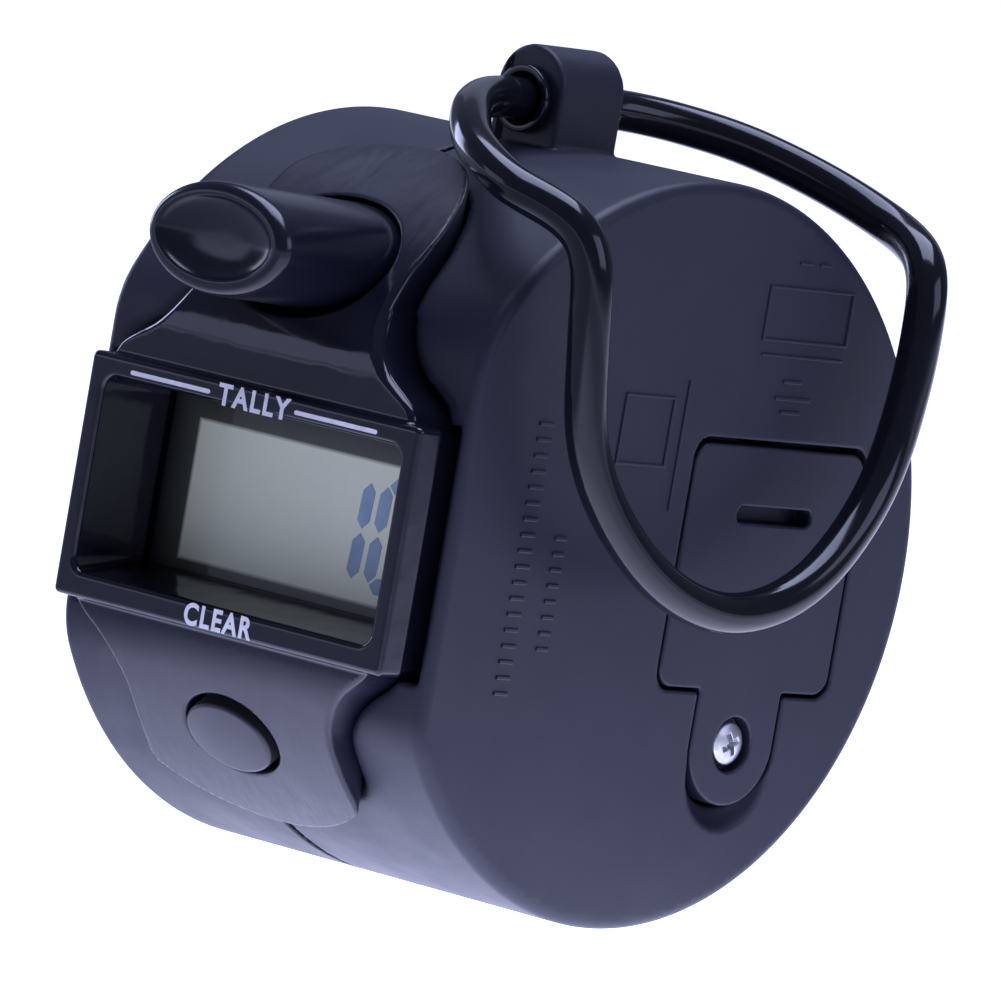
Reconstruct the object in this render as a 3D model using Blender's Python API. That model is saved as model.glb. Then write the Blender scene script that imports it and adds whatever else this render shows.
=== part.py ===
"""Hand tally counter: a round plastic body with a display, two buttons and a finger ring.

The sizes below are millimetres in the body's own frame: X is the axis of the round body, the
display faces -Y and Z is up. place() turns them into metres, with the origin under the middle
of the object's box. The battery cover is on the flat +X side, and the finger ring turns in the
lug on top of the right shell.
"""
import math

import bmesh
import bpy
from mathutils import Vector

MM = 0.001
GAP = 0.3                      # between pieces that touch in the real object
FRAME_ORIGIN = (3.2, -2.53, -21.98)

# Round body, split into two shells
BODY_RADIUS = 22.0
BODY_HALF_WIDTH = 14.1
FRONT_FLAT = 18.7              # from the axis to the flat front
TOP_BLEND = 8.0                # radius of the corner above the flat front
BOTTOM_BLEND = 4.0
LEFT_FLAT = 19.7               # the left shell is fuller in front than the right one
LEFT_BLEND = 6.0
WALL = 1.6
EDGE_ROUND = 0.7
SEAM_X = -1.8
SEAM_CHAMFER = 0.2

# Glossy front panel with the display hood
PANEL_RADIUS = 23.2
PANEL_FLAT = 21.2
PANEL_BLEND = 6.0
PANEL_THICK = 2.7
PANEL_CLEARANCE = 0.2
PANEL_BACK = -6.0
PANEL_CORE_FLAT = 17.2         # the panel's hollow back, behind the display frame
UPPER_NECK = [(7.5, 18.4), (7.3, 15.4), (7.2, 13.2), (7.6, 11.0), (9.1, 8.7), (11.9, 6.9)]
LOWER_NECK = [(11.4, -8.4), (9.6, -9.9), (8.2, -12.1), (8.05, -14.2), (8.3, -16.8)]
UPPER_ARCH = (-0.7, -17.8, 8.0)  # x and y of the centre and radius, seen from above
LOWER_ARCH = (0.0, -28.5, 15.03)
UPPER_TRIM = (16.5, 25.0)      # the heights that each arch trims
LOWER_TRIM = (-25.0, -15.5)
HOOD_HALF_WIDTH = 13.04
HOOD_TOP = 6.2
HOOD_BOTTOM = -8.1
HOOD_FRONT = -21.76
HOOD_LIP_BACK = -19.66
HOOD_NECK_HALF_WIDTH = 12.3
HOOD_NECK_INSET = 0.25          # above and below, from the lip to the neck behind it
HOOD_NECK_FRONT = -20.96
HOOD_BACK = -16.2
HOOD_CLEARANCE = 0.3
CAVITY_HALF_WIDTH = 11.85
CAVITY_TOP = 4.95
CAVITY_BOTTOM = -6.6
CAVITY_STEP_Y = -17.6
VIEW_HALF_WIDTH = 10.6
VIEW_TOP = 3.9
VIEW_BOTTOM = -5.6

# Display and board
GLASS_FRONT = -15.9
GLASS_THICK = 1.2
GLASS_HALF_WIDTH = 11.4
GLASS_TOP = 4.5
GLASS_BOTTOM = -6.2
BOARD_FRONT = -9.5
BOARD_THICK = 1.0
BOARD_HALF_WIDTH = 11.6
BOARD_TOP = 16.2
BOARD_BOTTOM = -14.4
BOARD_CORNER = 3.0
BOARD_POSTS = [(7.6, 8.2), (-7.6, 8.2), (7.2, -10.2), (-7.2, -10.2)]
POST_RADIUS = 1.3
POST_ROOT = -18.6              # where the board posts leave the panel
PILOT_RADIUS = 0.85
PILOT_FLOOR = -15.5

# Count button: an oval plunger on an axis that tips down as it goes in
COUNT_FACE = (-0.45, -26.8, 14.5)
COUNT_TILT = math.radians(5.0)
COUNT_HALF_WIDTH = 5.45
COUNT_HALF_HEIGHT = 3.25
COUNT_LENGTH = 12.9
COUNT_HOLE_GAP = 0.45
COUNT_HOLE_LIFT = 0.2          # the hole is a little taller above the plunger than below it
COUNT_EAR_HALF_WIDTH = 6.9
SPRING_X = 3.2                 # one spring on each side of the switch
SPRING_RADIUS = 0.95
SPRING_WIRE = 0.18
SPRING_TURNS = 8
SPRING_BORE_RADIUS = 1.4
SPRING_BORE_DEPTH = 4.0
SWITCH_SIZE = 3.6

# Reset button, square to the round body
RESET_ANGLE = math.radians(-37.4)
RESET_X = -0.4
RESET_HALF_WIDTH = 3.25
RESET_HALF_HEIGHT = 2.35
RESET_FACE_RADIUS = 23.6       # stands a little proud of the panel
RESET_HOLE_GAP = 0.3
RESET_RIM_DEPTH = (4.6, 5.4)   # the rim that keeps the key in
RESET_STEM_RADIUS = 1.5
RESET_STEM_END = 6.5

# Finger ring, pivoted in the lug on the right shell
PIVOT_Z = 24.45
LUG_HALF_WIDTH = 2.6
LUG_HALF_DEPTH = 2.8
LUG_ARCH_Z = 25.1
LUG_FOOT_Z = 20.6
WIRE_RADIUS = 1.22
RING_HOLE_RADIUS = 1.55
COLLAR_RADIUS = 2.0
COLLAR_LENGTH = 0.5
COLLAR_GAP = 0.15
# Half of the wire's centre line as (x, distance from the middle plane, z): along the pivot,
# out over the round rim, down past the flat side, and across the bottom of the loop
RING_ROUTE = [(0.0, 0.4, PIVOT_Z), (0.0, 2.2, PIVOT_Z), (0.0, 3.8, PIVOT_Z), (0.5, 6.3, 24.4),
              (1.9, 9.1, 24.15), (4.4, 12.4, 23.5), (8.0, 15.6, 22.1), (12.2, 16.9, 20.5),
              (15.5, 16.0, 19.4), (17.0, 15.3, 18.3), (17.7, 14.9, 16.4), (18.0, 14.5, 12.3),
              (18.1, 13.5, 7.3), (18.4, 11.4, 3.6), (18.9, 7.9, 0.3), (19.2, 4.1, -1.6),
              (19.3, 0.0, -2.3)]

# Battery bay on the +X side
COVER_LEFT = 1.15
COVER_RIGHT = 16.35
COVER_TOP = 6.9
COVER_BOTTOM = -7.5
COVER_CORNER = 1.4
COVER_THICK = 1.6
TAB_CENTRE = (8.7, -10.7)
TAB_RADIUS = 3.65
RECESS_DEPTH = 1.9
CELL_CENTRE = (8.75, 0.0)
CELL_RADIUS = 5.8
CELL_THICK = 5.4
BAY_FLOOR_X = 6.2
BAY_RADIUS = 6.1
COVER_GAP = 0.2
COVER_TOP_GAP = 0.35           # wider, so that a fingernail can lift the cover
COVER_SLOT = (5.6, 12.3, 2.35, 3.4)    # low and high y, low and high z
COVER_SLOT_DEPTH = 0.9
SCOOP_DEPTH = 1.4
SCREW_HEAD_RADIUS = 1.3
SCREW_HEAD_HOLE = 1.65
SCREW_SHAFT_HOLE = 1.1
SCREW_SEAT = 0.95              # below the cover's face
CONTACT_Z = 6.15               # underside of the positive contact

# Posts and screws that hold the shells together, as (y, z)
SHELL_POSTS = [(3.0, 16.8), (15.4, -10.4), (-2.5, -16.8)]
SHELL_HEAD_HOLE = 2.1
SHELL_SHAFT_HOLE = 1.3
SHELL_HEAD_SEAT = -12.4

REACH = 30.0                   # past the object on every side, for cutters


def place(point):
    """Body frame in millimetres to the object's frame in metres."""
    return Vector([(point[i] - FRAME_ORIGIN[i]) * MM for i in range(3)])


def clear_scene():
    for item in list(bpy.data.objects):
        bpy.data.objects.remove(item, do_unlink=True)


def material(name, colour, roughness, metallic=0.0):
    made = bpy.data.materials.new(name)
    made.use_nodes = True
    shader = made.node_tree.nodes["Principled BSDF"]
    shader.inputs["Base Color"].default_value = (*colour, 1.0)
    shader.inputs["Roughness"].default_value = roughness
    shader.inputs["Metallic"].default_value = metallic
    return made


def paint(item, look):
    item.data.materials.append(material(item.name + "_material", *look))
    return item


SHELL_BLACK = ((0.045, 0.045, 0.06), 0.6)
GLOSS_BLACK = ((0.012, 0.012, 0.016), 0.12)
RING_BLACK = ((0.015, 0.015, 0.018), 0.15, 0.5)
STEEL = ((0.75, 0.75, 0.76), 0.25, 1.0)
BRASS = ((0.78, 0.6, 0.28), 0.3, 1.0)
GREY_GREEN = ((0.42, 0.47, 0.43), 0.4)
BOARD_GREEN = ((0.03, 0.16, 0.07), 0.5)
RUBBER_GREY = ((0.12, 0.12, 0.13), 0.8)
COPPER_RED = ((0.5, 0.04, 0.03), 0.45)


def add_object(name, mesh, look, origin):
    item = bpy.data.objects.new(name, mesh)
    bpy.context.scene.collection.objects.link(item)
    item.location = place(origin)
    if look is None:
        item.hide_render = True
        item.display_type = "WIRE"
    else:
        paint(item, look)
    return item


def mesh_object(name, points, faces, look, origin=(0.0, 0.0, 0.0)):
    """A mesh whose points are given in the body frame; a cutter or guide has no look."""
    mesh = bpy.data.meshes.new(name)
    base = place(origin)
    mesh.from_pydata([place(p) - base for p in points], [], faces)
    work = bmesh.new()
    work.from_mesh(mesh)
    bmesh.ops.recalc_face_normals(work, faces=work.faces)
    work.to_mesh(mesh)
    work.free()
    mesh.shade_smooth()
    mesh.set_sharp_from_angle(angle=math.radians(35.0))
    return add_object(name, mesh, look, origin)


def loft(name, rings, look, origin=(0.0, 0.0, 0.0)):
    """Rings of equally many points, joined in order and capped at both ends."""
    count = len(rings[0])
    points = [p for ring in rings for p in ring]
    faces = [tuple(range(count))]
    for level in range(len(rings) - 1):
        low = level * count
        for k in range(count):
            after = (k + 1) % count
            faces.append((low + k, low + after, low + count + after, low + count + k))
    last = (len(rings) - 1) * count
    faces.append(tuple(range(last + count - 1, last - 1, -1)))
    return mesh_object(name, points, faces, look, origin)


def block(name, low, high, look=None, origin=(0.0, 0.0, 0.0)):
    corners = [(low[0], low[1]), (high[0], low[1]), (high[0], high[1]), (low[0], high[1])]
    return loft(name, [[(x, y, z) for x, y in corners] for z in (low[2], high[2])], look, origin)


def side_prism(name, outline, low_x, high_x, look=None, origin=(0.0, 0.0, 0.0)):
    return loft(name, [[(x, y, z) for y, z in outline] for x in (low_x, high_x)], look, origin)


def front_prism(name, outline, low_y, high_y, look=None, origin=(0.0, 0.0, 0.0)):
    return loft(name, [[(x, y, z) for x, z in outline] for y in (low_y, high_y)], look, origin)


def top_prism(name, outline, low_z, high_z, look=None):
    return loft(name, [[(x, y, z) for x, y in outline] for z in (low_z, high_z)], look)


def oval_ring(centre, direction, half_x, half_up, sides):
    """An oval round an axis that lies in the YZ plane."""
    up = (direction[2], -direction[1]) if direction[1] < 0 else (-direction[2], direction[1])
    turns = [2.0 * math.pi * k / sides for k in range(sides)]
    return [(centre[0] + half_x * math.cos(t),
             centre[1] + half_up * math.sin(t) * up[0],
             centre[2] + half_up * math.sin(t) * up[1]) for t in turns]


def along(start, direction, distance):
    return tuple(start[i] + direction[i] * distance for i in range(3))


def oval_loft(name, start, direction, sections, look=None, sides=40, origin=(0.0, 0.0, 0.0)):
    """Sections are (distance along the axis, half width, half height)."""
    rings = [oval_ring(along(start, direction, at), direction, half_x, half_up, sides)
             for at, half_x, half_up in sections]
    return loft(name, rings, look, origin)


def turned(name, axis, centre, sections, look=None, sides=24, origin=(0.0, 0.0, 0.0)):
    """Sections are (place on the axis, radius); centre holds the other two coordinates."""
    rings = []
    for at, radius in sections:
        ring = []
        for k in range(sides):
            turn = 2.0 * math.pi * k / sides
            across = [centre[0] + radius * math.cos(turn), centre[1] + radius * math.sin(turn)]
            across.insert("XYZ".index(axis), at)
            ring.append(tuple(across))
        rings.append(ring)
    return loft(name, rings, look, origin)


def washer(name, axis, centre, low, high, inner, outer, look, sides=24):
    """A flat ring, made as a closed loop of four circles."""
    corners = [(low, outer), (high, outer), (high, inner), (low, inner)]
    points = []
    for at, radius in corners:
        for k in range(sides):
            turn = 2.0 * math.pi * k / sides
            across = [centre[0] + radius * math.cos(turn), centre[1] + radius * math.sin(turn)]
            across.insert("XYZ".index(axis), at)
            points.append(tuple(across))
    faces = []
    for corner in range(4):
        low_ring = corner * sides
        high_ring = (corner + 1) % 4 * sides
        for k in range(sides):
            after = (k + 1) % sides
            faces.append((low_ring + k, low_ring + after, high_ring + after, high_ring + k))
    return mesh_object(name, points, faces, look)


def smooth_line(points, steps):
    """A Catmull-Rom curve through the points, ends included."""
    padded = [points[0]] + list(points) + [points[-1]]
    line = []
    for a, b, c, d in zip(padded, padded[1:], padded[2:], padded[3:]):
        for k in range(steps):
            t = k / steps
            line.append(tuple(
                0.5 * (2 * b[i] + (c[i] - a[i]) * t
                       + (2 * a[i] - 5 * b[i] + 4 * c[i] - d[i]) * t * t
                       + (3 * b[i] - 3 * c[i] + d[i] - a[i]) * t ** 3)
                for i in range(len(b))))
    line.append(tuple(points[-1]))
    return line


def wire(name, route, radius, look, resolution=2, origin=(0.0, 0.0, 0.0)):
    curve = bpy.data.curves.new(name, "CURVE")
    curve.dimensions = "3D"
    curve.bevel_depth = radius * MM
    curve.bevel_resolution = resolution
    curve.use_fill_caps = True
    spline = curve.splines.new("POLY")
    spline.points.add(len(route) - 1)
    base = place(origin)
    for point, where in zip(spline.points, route):
        point.co = (*(place(where) - base), 1.0)
    return add_object(name, curve, look, origin)


def combine(target, other, operation):
    step = target.modifiers.new(operation.lower() + "_" + other.name, "BOOLEAN")
    step.operation = operation
    step.solver = "EXACT"
    step.object = other


def cut(target, *others):
    for other in others:
        combine(target, other, "DIFFERENCE")


def join(target, *others):
    for other in others:
        combine(target, other, "UNION")


def soften(item, width, segments=2):
    step = item.modifiers.new("rounded_edges", "BEVEL")
    step.width = width * MM
    step.segments = segments
    step.limit_method = "ANGLE"
    step.angle_limit = math.radians(40.0)


def flatted_circle(radius, flat, top_blend, bottom_blend, arc_steps=60, blend_steps=5):
    """(y, z) points of a circle cut by a flat front, with both corners rounded."""
    top_z = math.sqrt((radius - top_blend) ** 2 - (flat - top_blend) ** 2)
    bottom_z = math.sqrt((radius - bottom_blend) ** 2 - (flat - bottom_blend) ** 2)
    top_turn = math.atan2(top_z, flat - top_blend)
    bottom_turn = math.atan2(bottom_z, flat - bottom_blend)
    points = []
    for k in range(blend_steps + 1):
        turn = top_turn * k / blend_steps
        points.append((top_blend - flat - top_blend * math.cos(turn),
                       top_z + top_blend * math.sin(turn)))
    sweep = 2.0 * math.pi - bottom_turn - top_turn
    for k in range(1, arc_steps):
        turn = top_turn + sweep * k / arc_steps
        points.append((-radius * math.cos(turn), radius * math.sin(turn)))
    for k in range(blend_steps, -1, -1):
        turn = -bottom_turn * k / blend_steps
        points.append((bottom_blend - flat - bottom_blend * math.cos(turn),
                       bottom_blend * math.sin(turn) - bottom_z))
    return points


def body_ring(side, inset, x):
    flat, top, bottom = FRONT_FLAT, TOP_BLEND, BOTTOM_BLEND
    if side < 0:
        flat, top, bottom = LEFT_FLAT, LEFT_BLEND, LEFT_BLEND
    outline = flatted_circle(BODY_RADIUS - inset, flat - inset, top - inset, bottom - inset)
    return [(x, y, z) for y, z in outline]


def cup(name, side, seam):
    """Half of the body: a round-edged cup whose open end is at the seam."""
    outer = side * BODY_HALF_WIDTH
    rings = []
    for k in range(4):
        turn = math.radians(30.0 * k)
        inset = EDGE_ROUND * (1.0 - math.sin(turn))
        x = outer - side * EDGE_ROUND * (1.0 - math.cos(turn))
        rings.append(body_ring(side, inset, x))
    rings.append(body_ring(side, 0.0, seam + side * SEAM_CHAMFER))
    rings.append(body_ring(side, SEAM_CHAMFER, seam))
    rings.append(body_ring(side, WALL, seam))
    rings.append(body_ring(side, WALL, outer - side * WALL))
    return loft(name, rings, SHELL_BLACK)


def panel_outline(grow):
    """Front view of the panel: a waist above and below the display hood."""
    right = [(UPPER_NECK[0][0], REACH)] + smooth_line(UPPER_NECK, 4)
    right += smooth_line(LOWER_NECK, 4) + [(LOWER_NECK[-1][0], -REACH)]
    right = [(x + grow, z) for x, z in right]
    return right + [(-x, z) for x, z in reversed(right)]


def arch_trim(name, arch, grow, low_z, high_z):
    """What lies behind the arched end of the panel, past the panel's own back."""
    centre_x, centre_y, radius = arch
    radius += grow
    steps = 24
    outline = []
    for k in range(steps + 1):
        turn = math.pi * (1.0 - k / steps)
        outline.append((centre_x + radius * math.cos(turn), centre_y + radius * math.sin(turn)))
    outline += [(REACH, centre_y), (REACH, 0.0), (-REACH, 0.0), (-REACH, centre_y)]
    return top_prism(name, outline, low_z, high_z)


def panel_volume(name, grow, look=None):
    item = front_prism(name, panel_outline(grow), -REACH, PANEL_BACK, look)
    cut(item, arch_trim(name + "_upper_trim", UPPER_ARCH, grow, *UPPER_TRIM))
    cut(item, arch_trim(name + "_lower_trim", LOWER_ARCH, grow, *LOWER_TRIM))
    return item


def hood_box(name, half_width, top, bottom, front, back, corner=0.4):
    item = block(name, (-half_width, front, bottom), (half_width, back, top))
    soften(item, corner)
    return item


def count_direction():
    return (0.0, math.cos(COUNT_TILT), -math.sin(COUNT_TILT))


def reset_direction():
    """Inwards, towards the axis of the body."""
    return (0.0, math.cos(RESET_ANGLE), -math.sin(RESET_ANGLE))


def reset_point(radius):
    return (RESET_X, -radius * math.cos(RESET_ANGLE), radius * math.sin(RESET_ANGLE))


def count_hole():
    half_x = COUNT_HALF_WIDTH + COUNT_HOLE_GAP
    half_up = COUNT_HALF_HEIGHT + COUNT_HOLE_GAP + COUNT_HOLE_LIFT
    start = (COUNT_FACE[0], COUNT_FACE[1], COUNT_FACE[2] + COUNT_HOLE_LIFT)
    sections = [(2.0, half_x, half_up), (COUNT_LENGTH + 6.1, half_x, half_up)]
    return oval_loft("count_hole", start, count_direction(), sections)


def reset_hole():
    half_x = RESET_HALF_WIDTH + RESET_HOLE_GAP
    half_up = RESET_HALF_HEIGHT + RESET_HOLE_GAP
    sections = [(-2.0, half_x, half_up), (RESET_STEM_END, half_x, half_up)]
    return oval_loft("reset_hole", reset_point(RESET_FACE_RADIUS), reset_direction(), sections,
                     sides=32)


def front_panel():
    item = panel_volume("front_panel", 0.0, GLOSS_BLACK)
    outer = flatted_circle(PANEL_RADIUS, PANEL_FLAT, PANEL_BLEND, PANEL_BLEND)
    combine(item, side_prism("panel_face", outer, -REACH, REACH), "INTERSECT")
    inner = flatted_circle(PANEL_RADIUS - PANEL_THICK, PANEL_CORE_FLAT, PANEL_BLEND, PANEL_BLEND)
    cut(item, side_prism("panel_core", inner, -REACH, REACH))
    join(item, hood_box("hood_lip", HOOD_HALF_WIDTH, HOOD_TOP, HOOD_BOTTOM, HOOD_FRONT,
                        HOOD_LIP_BACK))
    join(item, hood_box("hood_neck", HOOD_NECK_HALF_WIDTH, HOOD_TOP - HOOD_NECK_INSET,
                        HOOD_BOTTOM + HOOD_NECK_INSET, HOOD_NECK_FRONT, HOOD_BACK, 0.3))
    for number, (x, z) in enumerate(BOARD_POSTS, 1):
        post = turned("panel_post_%d" % number, "Y", (x, z),
                      [(POST_ROOT, POST_RADIUS), (BOARD_FRONT - GAP, POST_RADIUS)], sides=16)
        join(item, post)
    cut(item, hood_box("cavity", CAVITY_HALF_WIDTH, CAVITY_TOP, CAVITY_BOTTOM, -REACH,
                       CAVITY_STEP_Y, 0.8))
    cut(item, block("view", (-VIEW_HALF_WIDTH, CAVITY_STEP_Y - 1.4, VIEW_BOTTOM),
                    (VIEW_HALF_WIDTH, GLASS_FRONT + 1.9, VIEW_TOP)))
    cut(item, count_hole(), reset_hole())
    for number, (x, z) in enumerate(BOARD_POSTS, 1):
        cut(item, turned("panel_pilot_%d" % number, "Y", (x, z),
                         [(PILOT_FLOOR, PILOT_RADIUS), (BOARD_FRONT, PILOT_RADIUS)], sides=12))
    return item


def shell_openings(side_name):
    opening = panel_volume(side_name + "_panel_opening", PANEL_CLEARANCE)
    half = HOOD_HALF_WIDTH + HOOD_CLEARANCE
    hood = block(side_name + "_hood_opening", (-half, -REACH, HOOD_BOTTOM - HOOD_CLEARANCE),
                 (half, HOOD_BACK + HOOD_CLEARANCE, HOOD_TOP + HOOD_CLEARANCE))
    return opening, hood


def left_shell():
    seam = SEAM_X - GAP / 2
    item = cup("left_shell", -1, seam)
    for number, centre in enumerate(SHELL_POSTS, 1):
        join(item, turned("left_post_%d" % number, "X", centre, [(-13.0, 2.9), (seam, 2.2)]))
    cut(item, *shell_openings("left"))
    cut(item, block("lug_notch", (-LUG_HALF_WIDTH - GAP, -LUG_HALF_DEPTH - GAP, 19.0),
                    (0.0, LUG_HALF_DEPTH + GAP, REACH)))
    head = [(-REACH, SHELL_HEAD_HOLE), (SHELL_HEAD_SEAT, SHELL_HEAD_HOLE)]
    shaft = [(SHELL_HEAD_SEAT - 1.1, SHELL_SHAFT_HOLE), (0.0, SHELL_SHAFT_HOLE)]
    for number, centre in enumerate(SHELL_POSTS, 1):
        cut(item, turned("left_head_hole_%d" % number, "X", centre, head))
        cut(item, turned("left_shaft_hole_%d" % number, "X", centre, shaft, sides=16))
    return item


def lug():
    outline = [(-LUG_HALF_WIDTH, LUG_FOOT_Z), (LUG_HALF_WIDTH, LUG_FOOT_Z)]
    for k in range(17):
        turn = math.pi * k / 16
        outline.append((LUG_HALF_WIDTH * math.cos(turn),
                        LUG_ARCH_Z + LUG_HALF_WIDTH * math.sin(turn)))
    item = front_prism("lug", outline, -LUG_HALF_DEPTH, LUG_HALF_DEPTH)
    soften(item, 0.3)
    return item


def cover_outline(grow, top_grow):
    """(y, z) points of the battery cover: a rounded panel with a round-ended tab below it."""
    left, right = COVER_LEFT - grow, COVER_RIGHT + grow
    top, bottom = COVER_TOP + top_grow, COVER_BOTTOM - grow
    corner = COVER_CORNER
    points = []
    for centre_y, centre_z, start in ((right - corner, top - corner, 0.0),
                                      (left + corner, top - corner, 90.0),
                                      (left + corner, bottom + corner, 180.0)):
        for k in range(5):
            turn = math.radians(start + 22.5 * k)
            points.append((centre_y + corner * math.cos(turn), centre_z + corner * math.sin(turn)))
    tab = TAB_RADIUS + grow
    points.append((TAB_CENTRE[0] - tab, bottom))
    for k in range(13):
        turn = math.radians(180.0 + 15.0 * k)
        points.append((TAB_CENTRE[0] + tab * math.cos(turn), TAB_CENTRE[1] + tab * math.sin(turn)))
    points.append((TAB_CENTRE[0] + tab, bottom))
    for k in range(5):
        turn = math.radians(270.0 + 22.5 * k)
        points.append((right - corner + corner * math.cos(turn),
                       bottom + corner + corner * math.sin(turn)))
    return points


def right_shell():
    seam = SEAM_X + GAP / 2
    face = BODY_HALF_WIDTH
    item = cup("right_shell", 1, seam)
    join(item, lug())
    join(item, turned("bay_cup", "X", CELL_CENTRE, [(5.6, 7.5), (12.9, 7.5)], sides=32))
    join(item, block("bay_plate", (10.9, 0.1, -8.4), (12.95, 17.2, 8.7)))
    join(item, turned("tab_boss", "X", TAB_CENTRE, [(5.4, 3.0), (12.97, 4.6)]))
    for number, centre in enumerate(SHELL_POSTS, 1):
        join(item, turned("right_post_%d" % number, "X", centre, [(seam, 2.2), (13.0, 2.5)]))
    cut(item, *shell_openings("right"))
    cut(item, side_prism("cover_recess", cover_outline(COVER_GAP, COVER_TOP_GAP),
                         face - RECESS_DEPTH, REACH))
    cut(item, turned("finger_scoop", "X", (TAB_CENTRE[0] - 0.1, TAB_CENTRE[1] - 1.5),
                     [(face - SCOOP_DEPTH, TAB_RADIUS), (REACH, TAB_RADIUS)]))
    cut(item, turned("cell_bore", "X", CELL_CENTRE, [(BAY_FLOOR_X, BAY_RADIUS), (13.0, BAY_RADIUS)],
                     sides=32))
    cut(item, block("contact_notch", (6.9, CELL_CENTRE[0] - 1.8, 4.0),
                    (13.0, CELL_CENTRE[0] + 1.8, 6.95)))
    cut(item, turned("insert_bore", "X", TAB_CENTRE, [(6.4, 2.0), (13.0, 2.0)], sides=20))
    for name, z in (("negative_pin_hole", 0.0), ("positive_pin_hole", 6.4)):
        cut(item, turned(name, "X", (CELL_CENTRE[0], z), [(4.0, 0.8), (8.0, 0.8)], sides=12))
    cut(item, turned("ring_hole", "Y", (0.0, PIVOT_Z),
                     [(-4.0, RING_HOLE_RADIUS), (4.0, RING_HOLE_RADIUS)]))
    pilot = [(-3.0, SHELL_SHAFT_HOLE), (6.0, SHELL_SHAFT_HOLE)]
    for number, centre in enumerate(SHELL_POSTS, 1):
        cut(item, turned("right_pilot_%d" % number, "X", centre, pilot, sides=16))
    return item


def display():
    back = GLASS_FRONT + GLASS_THICK
    block("lcd_glass", (-GLASS_HALF_WIDTH, GLASS_FRONT, GLASS_BOTTOM),
          (GLASS_HALF_WIDTH, back, GLASS_TOP), GREY_GREEN)
    block("lcd_reflector", (-10.4, back + GAP, -4.7), (10.4, back + GAP + 0.3, 3.1),
          ((0.6, 0.62, 0.6), 0.35, 0.6))
    holder = block("lcd_holder", (-11.9, -13.7, -6.9), (11.9, BOARD_FRONT - GAP, 5.4),
                   ((0.5, 0.5, 0.48), 0.5))
    cut(holder, block("holder_opening", (-10.9, -15.0, -6.4), (10.9, -8.0, 4.9)))
    for name, low_z in (("zebra_strip_top", 3.6), ("zebra_strip_bottom", -6.0)):
        block(name, (-10.5, back + GAP, low_z), (10.5, BOARD_FRONT - GAP, low_z + 0.9),
              RUBBER_GREY)


def board_outline():
    half, top, bottom, corner = BOARD_HALF_WIDTH, BOARD_TOP, BOARD_BOTTOM, BOARD_CORNER
    right = [(half - corner, top), (half, top - corner), (half, bottom + corner),
             (half - corner, bottom)]
    return right + [(-x, z) for x, z in reversed(right)]


def circuit_board():
    back = BOARD_FRONT + BOARD_THICK
    item = front_prism("circuit_board", board_outline(), BOARD_FRONT, back, BOARD_GREEN)
    for number, (x, z) in enumerate(BOARD_POSTS, 1):
        hole = [(BOARD_FRONT - 1.5, PILOT_RADIUS), (back + 1.5, PILOT_RADIUS)]
        cut(item, turned("board_hole_%d" % number, "Y", (x, z), hole, sides=12))
        turned("board_screw_%d" % number, "Y", (x, z),
               [(-13.5, 0.55), (back + GAP, 0.55), (back + GAP, 1.2), (back + 1.0, 1.1)],
               STEEL, sides=16)
    chip = [(back + GAP, 3.4), (back + 0.8, 3.2), (back + 1.3, 2.2), (back + 1.5, 0.9)]
    turned("chip_blob", "Y", (-4.5, 0.5), chip, ((0.01, 0.01, 0.01), 0.3))
    turned("capacitor", "Y", (-2.0, -9.6),
           [(back + GAP, 1.9), (back + 4.6, 1.9), (back + 4.9, 1.6)], ((0.05, 0.07, 0.2), 0.35))
    block("resistor", (1.0, back + GAP, 9.0), (4.2, back + 1.0, 10.6), ((0.03, 0.03, 0.03), 0.4))
    crystal = block("timing_crystal", (-9.6, back + GAP, 4.8), (-4.6, back + 2.2, 6.8), STEEL)
    soften(crystal, 0.6)


def count_button():
    """Oval plunger: dished face, two ears that keep it in, and a bore for each spring."""
    half_x, half_up = COUNT_HALF_WIDTH, COUNT_HALF_HEIGHT
    profile = [(1.15, 3.6), (1.0, 2.6), (0.55, 1.5), (0.1, 0.75), (0.0, 0.55), (0.1, 0.18),
               (0.4, 0.0), (COUNT_LENGTH, 0.0)]
    sections = [(at, half_x - inset, half_up * (half_x - inset) / half_x if inset > 1.0
                 else half_up - inset) for at, inset in profile]
    item = oval_loft("count_button", COUNT_FACE, count_direction(), sections, GLOSS_BLACK,
                     origin=COUNT_FACE)
    inner = along(COUNT_FACE, count_direction(), COUNT_LENGTH)
    ears = block("count_ears", (-COUNT_EAR_HALF_WIDTH, inner[1] - 1.3, inner[2] - 2.1),
                 (COUNT_EAR_HALF_WIDTH, inner[1] - 0.2, inner[2] + 0.3))
    join(item, ears)
    radius = SPRING_BORE_RADIUS
    bore = [(COUNT_LENGTH - SPRING_BORE_DEPTH, radius, radius), (COUNT_LENGTH + 1.0, radius, radius)]
    for name, x in (("left_spring_bore", -SPRING_X), ("right_spring_bore", SPRING_X)):
        cut(item, oval_loft(name, (x, *COUNT_FACE[1:]), count_direction(), bore, sides=16))


def count_switch():
    z = COUNT_FACE[2] - math.tan(COUNT_TILT) * (BOARD_FRONT - COUNT_FACE[1])
    half = SWITCH_SIZE / 2
    top = BOARD_FRONT - 1.7
    block("count_switch_body", (-half, top, z - half), (half, BOARD_FRONT - 0.15, z + half),
          ((0.05, 0.05, 0.05), 0.4))
    turned("count_switch_stem", "Y", (0.0, z), [(top - 0.55, 1.0), (top - 0.15, 1.1)],
           ((0.6, 0.58, 0.5), 0.5), sides=16)


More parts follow.
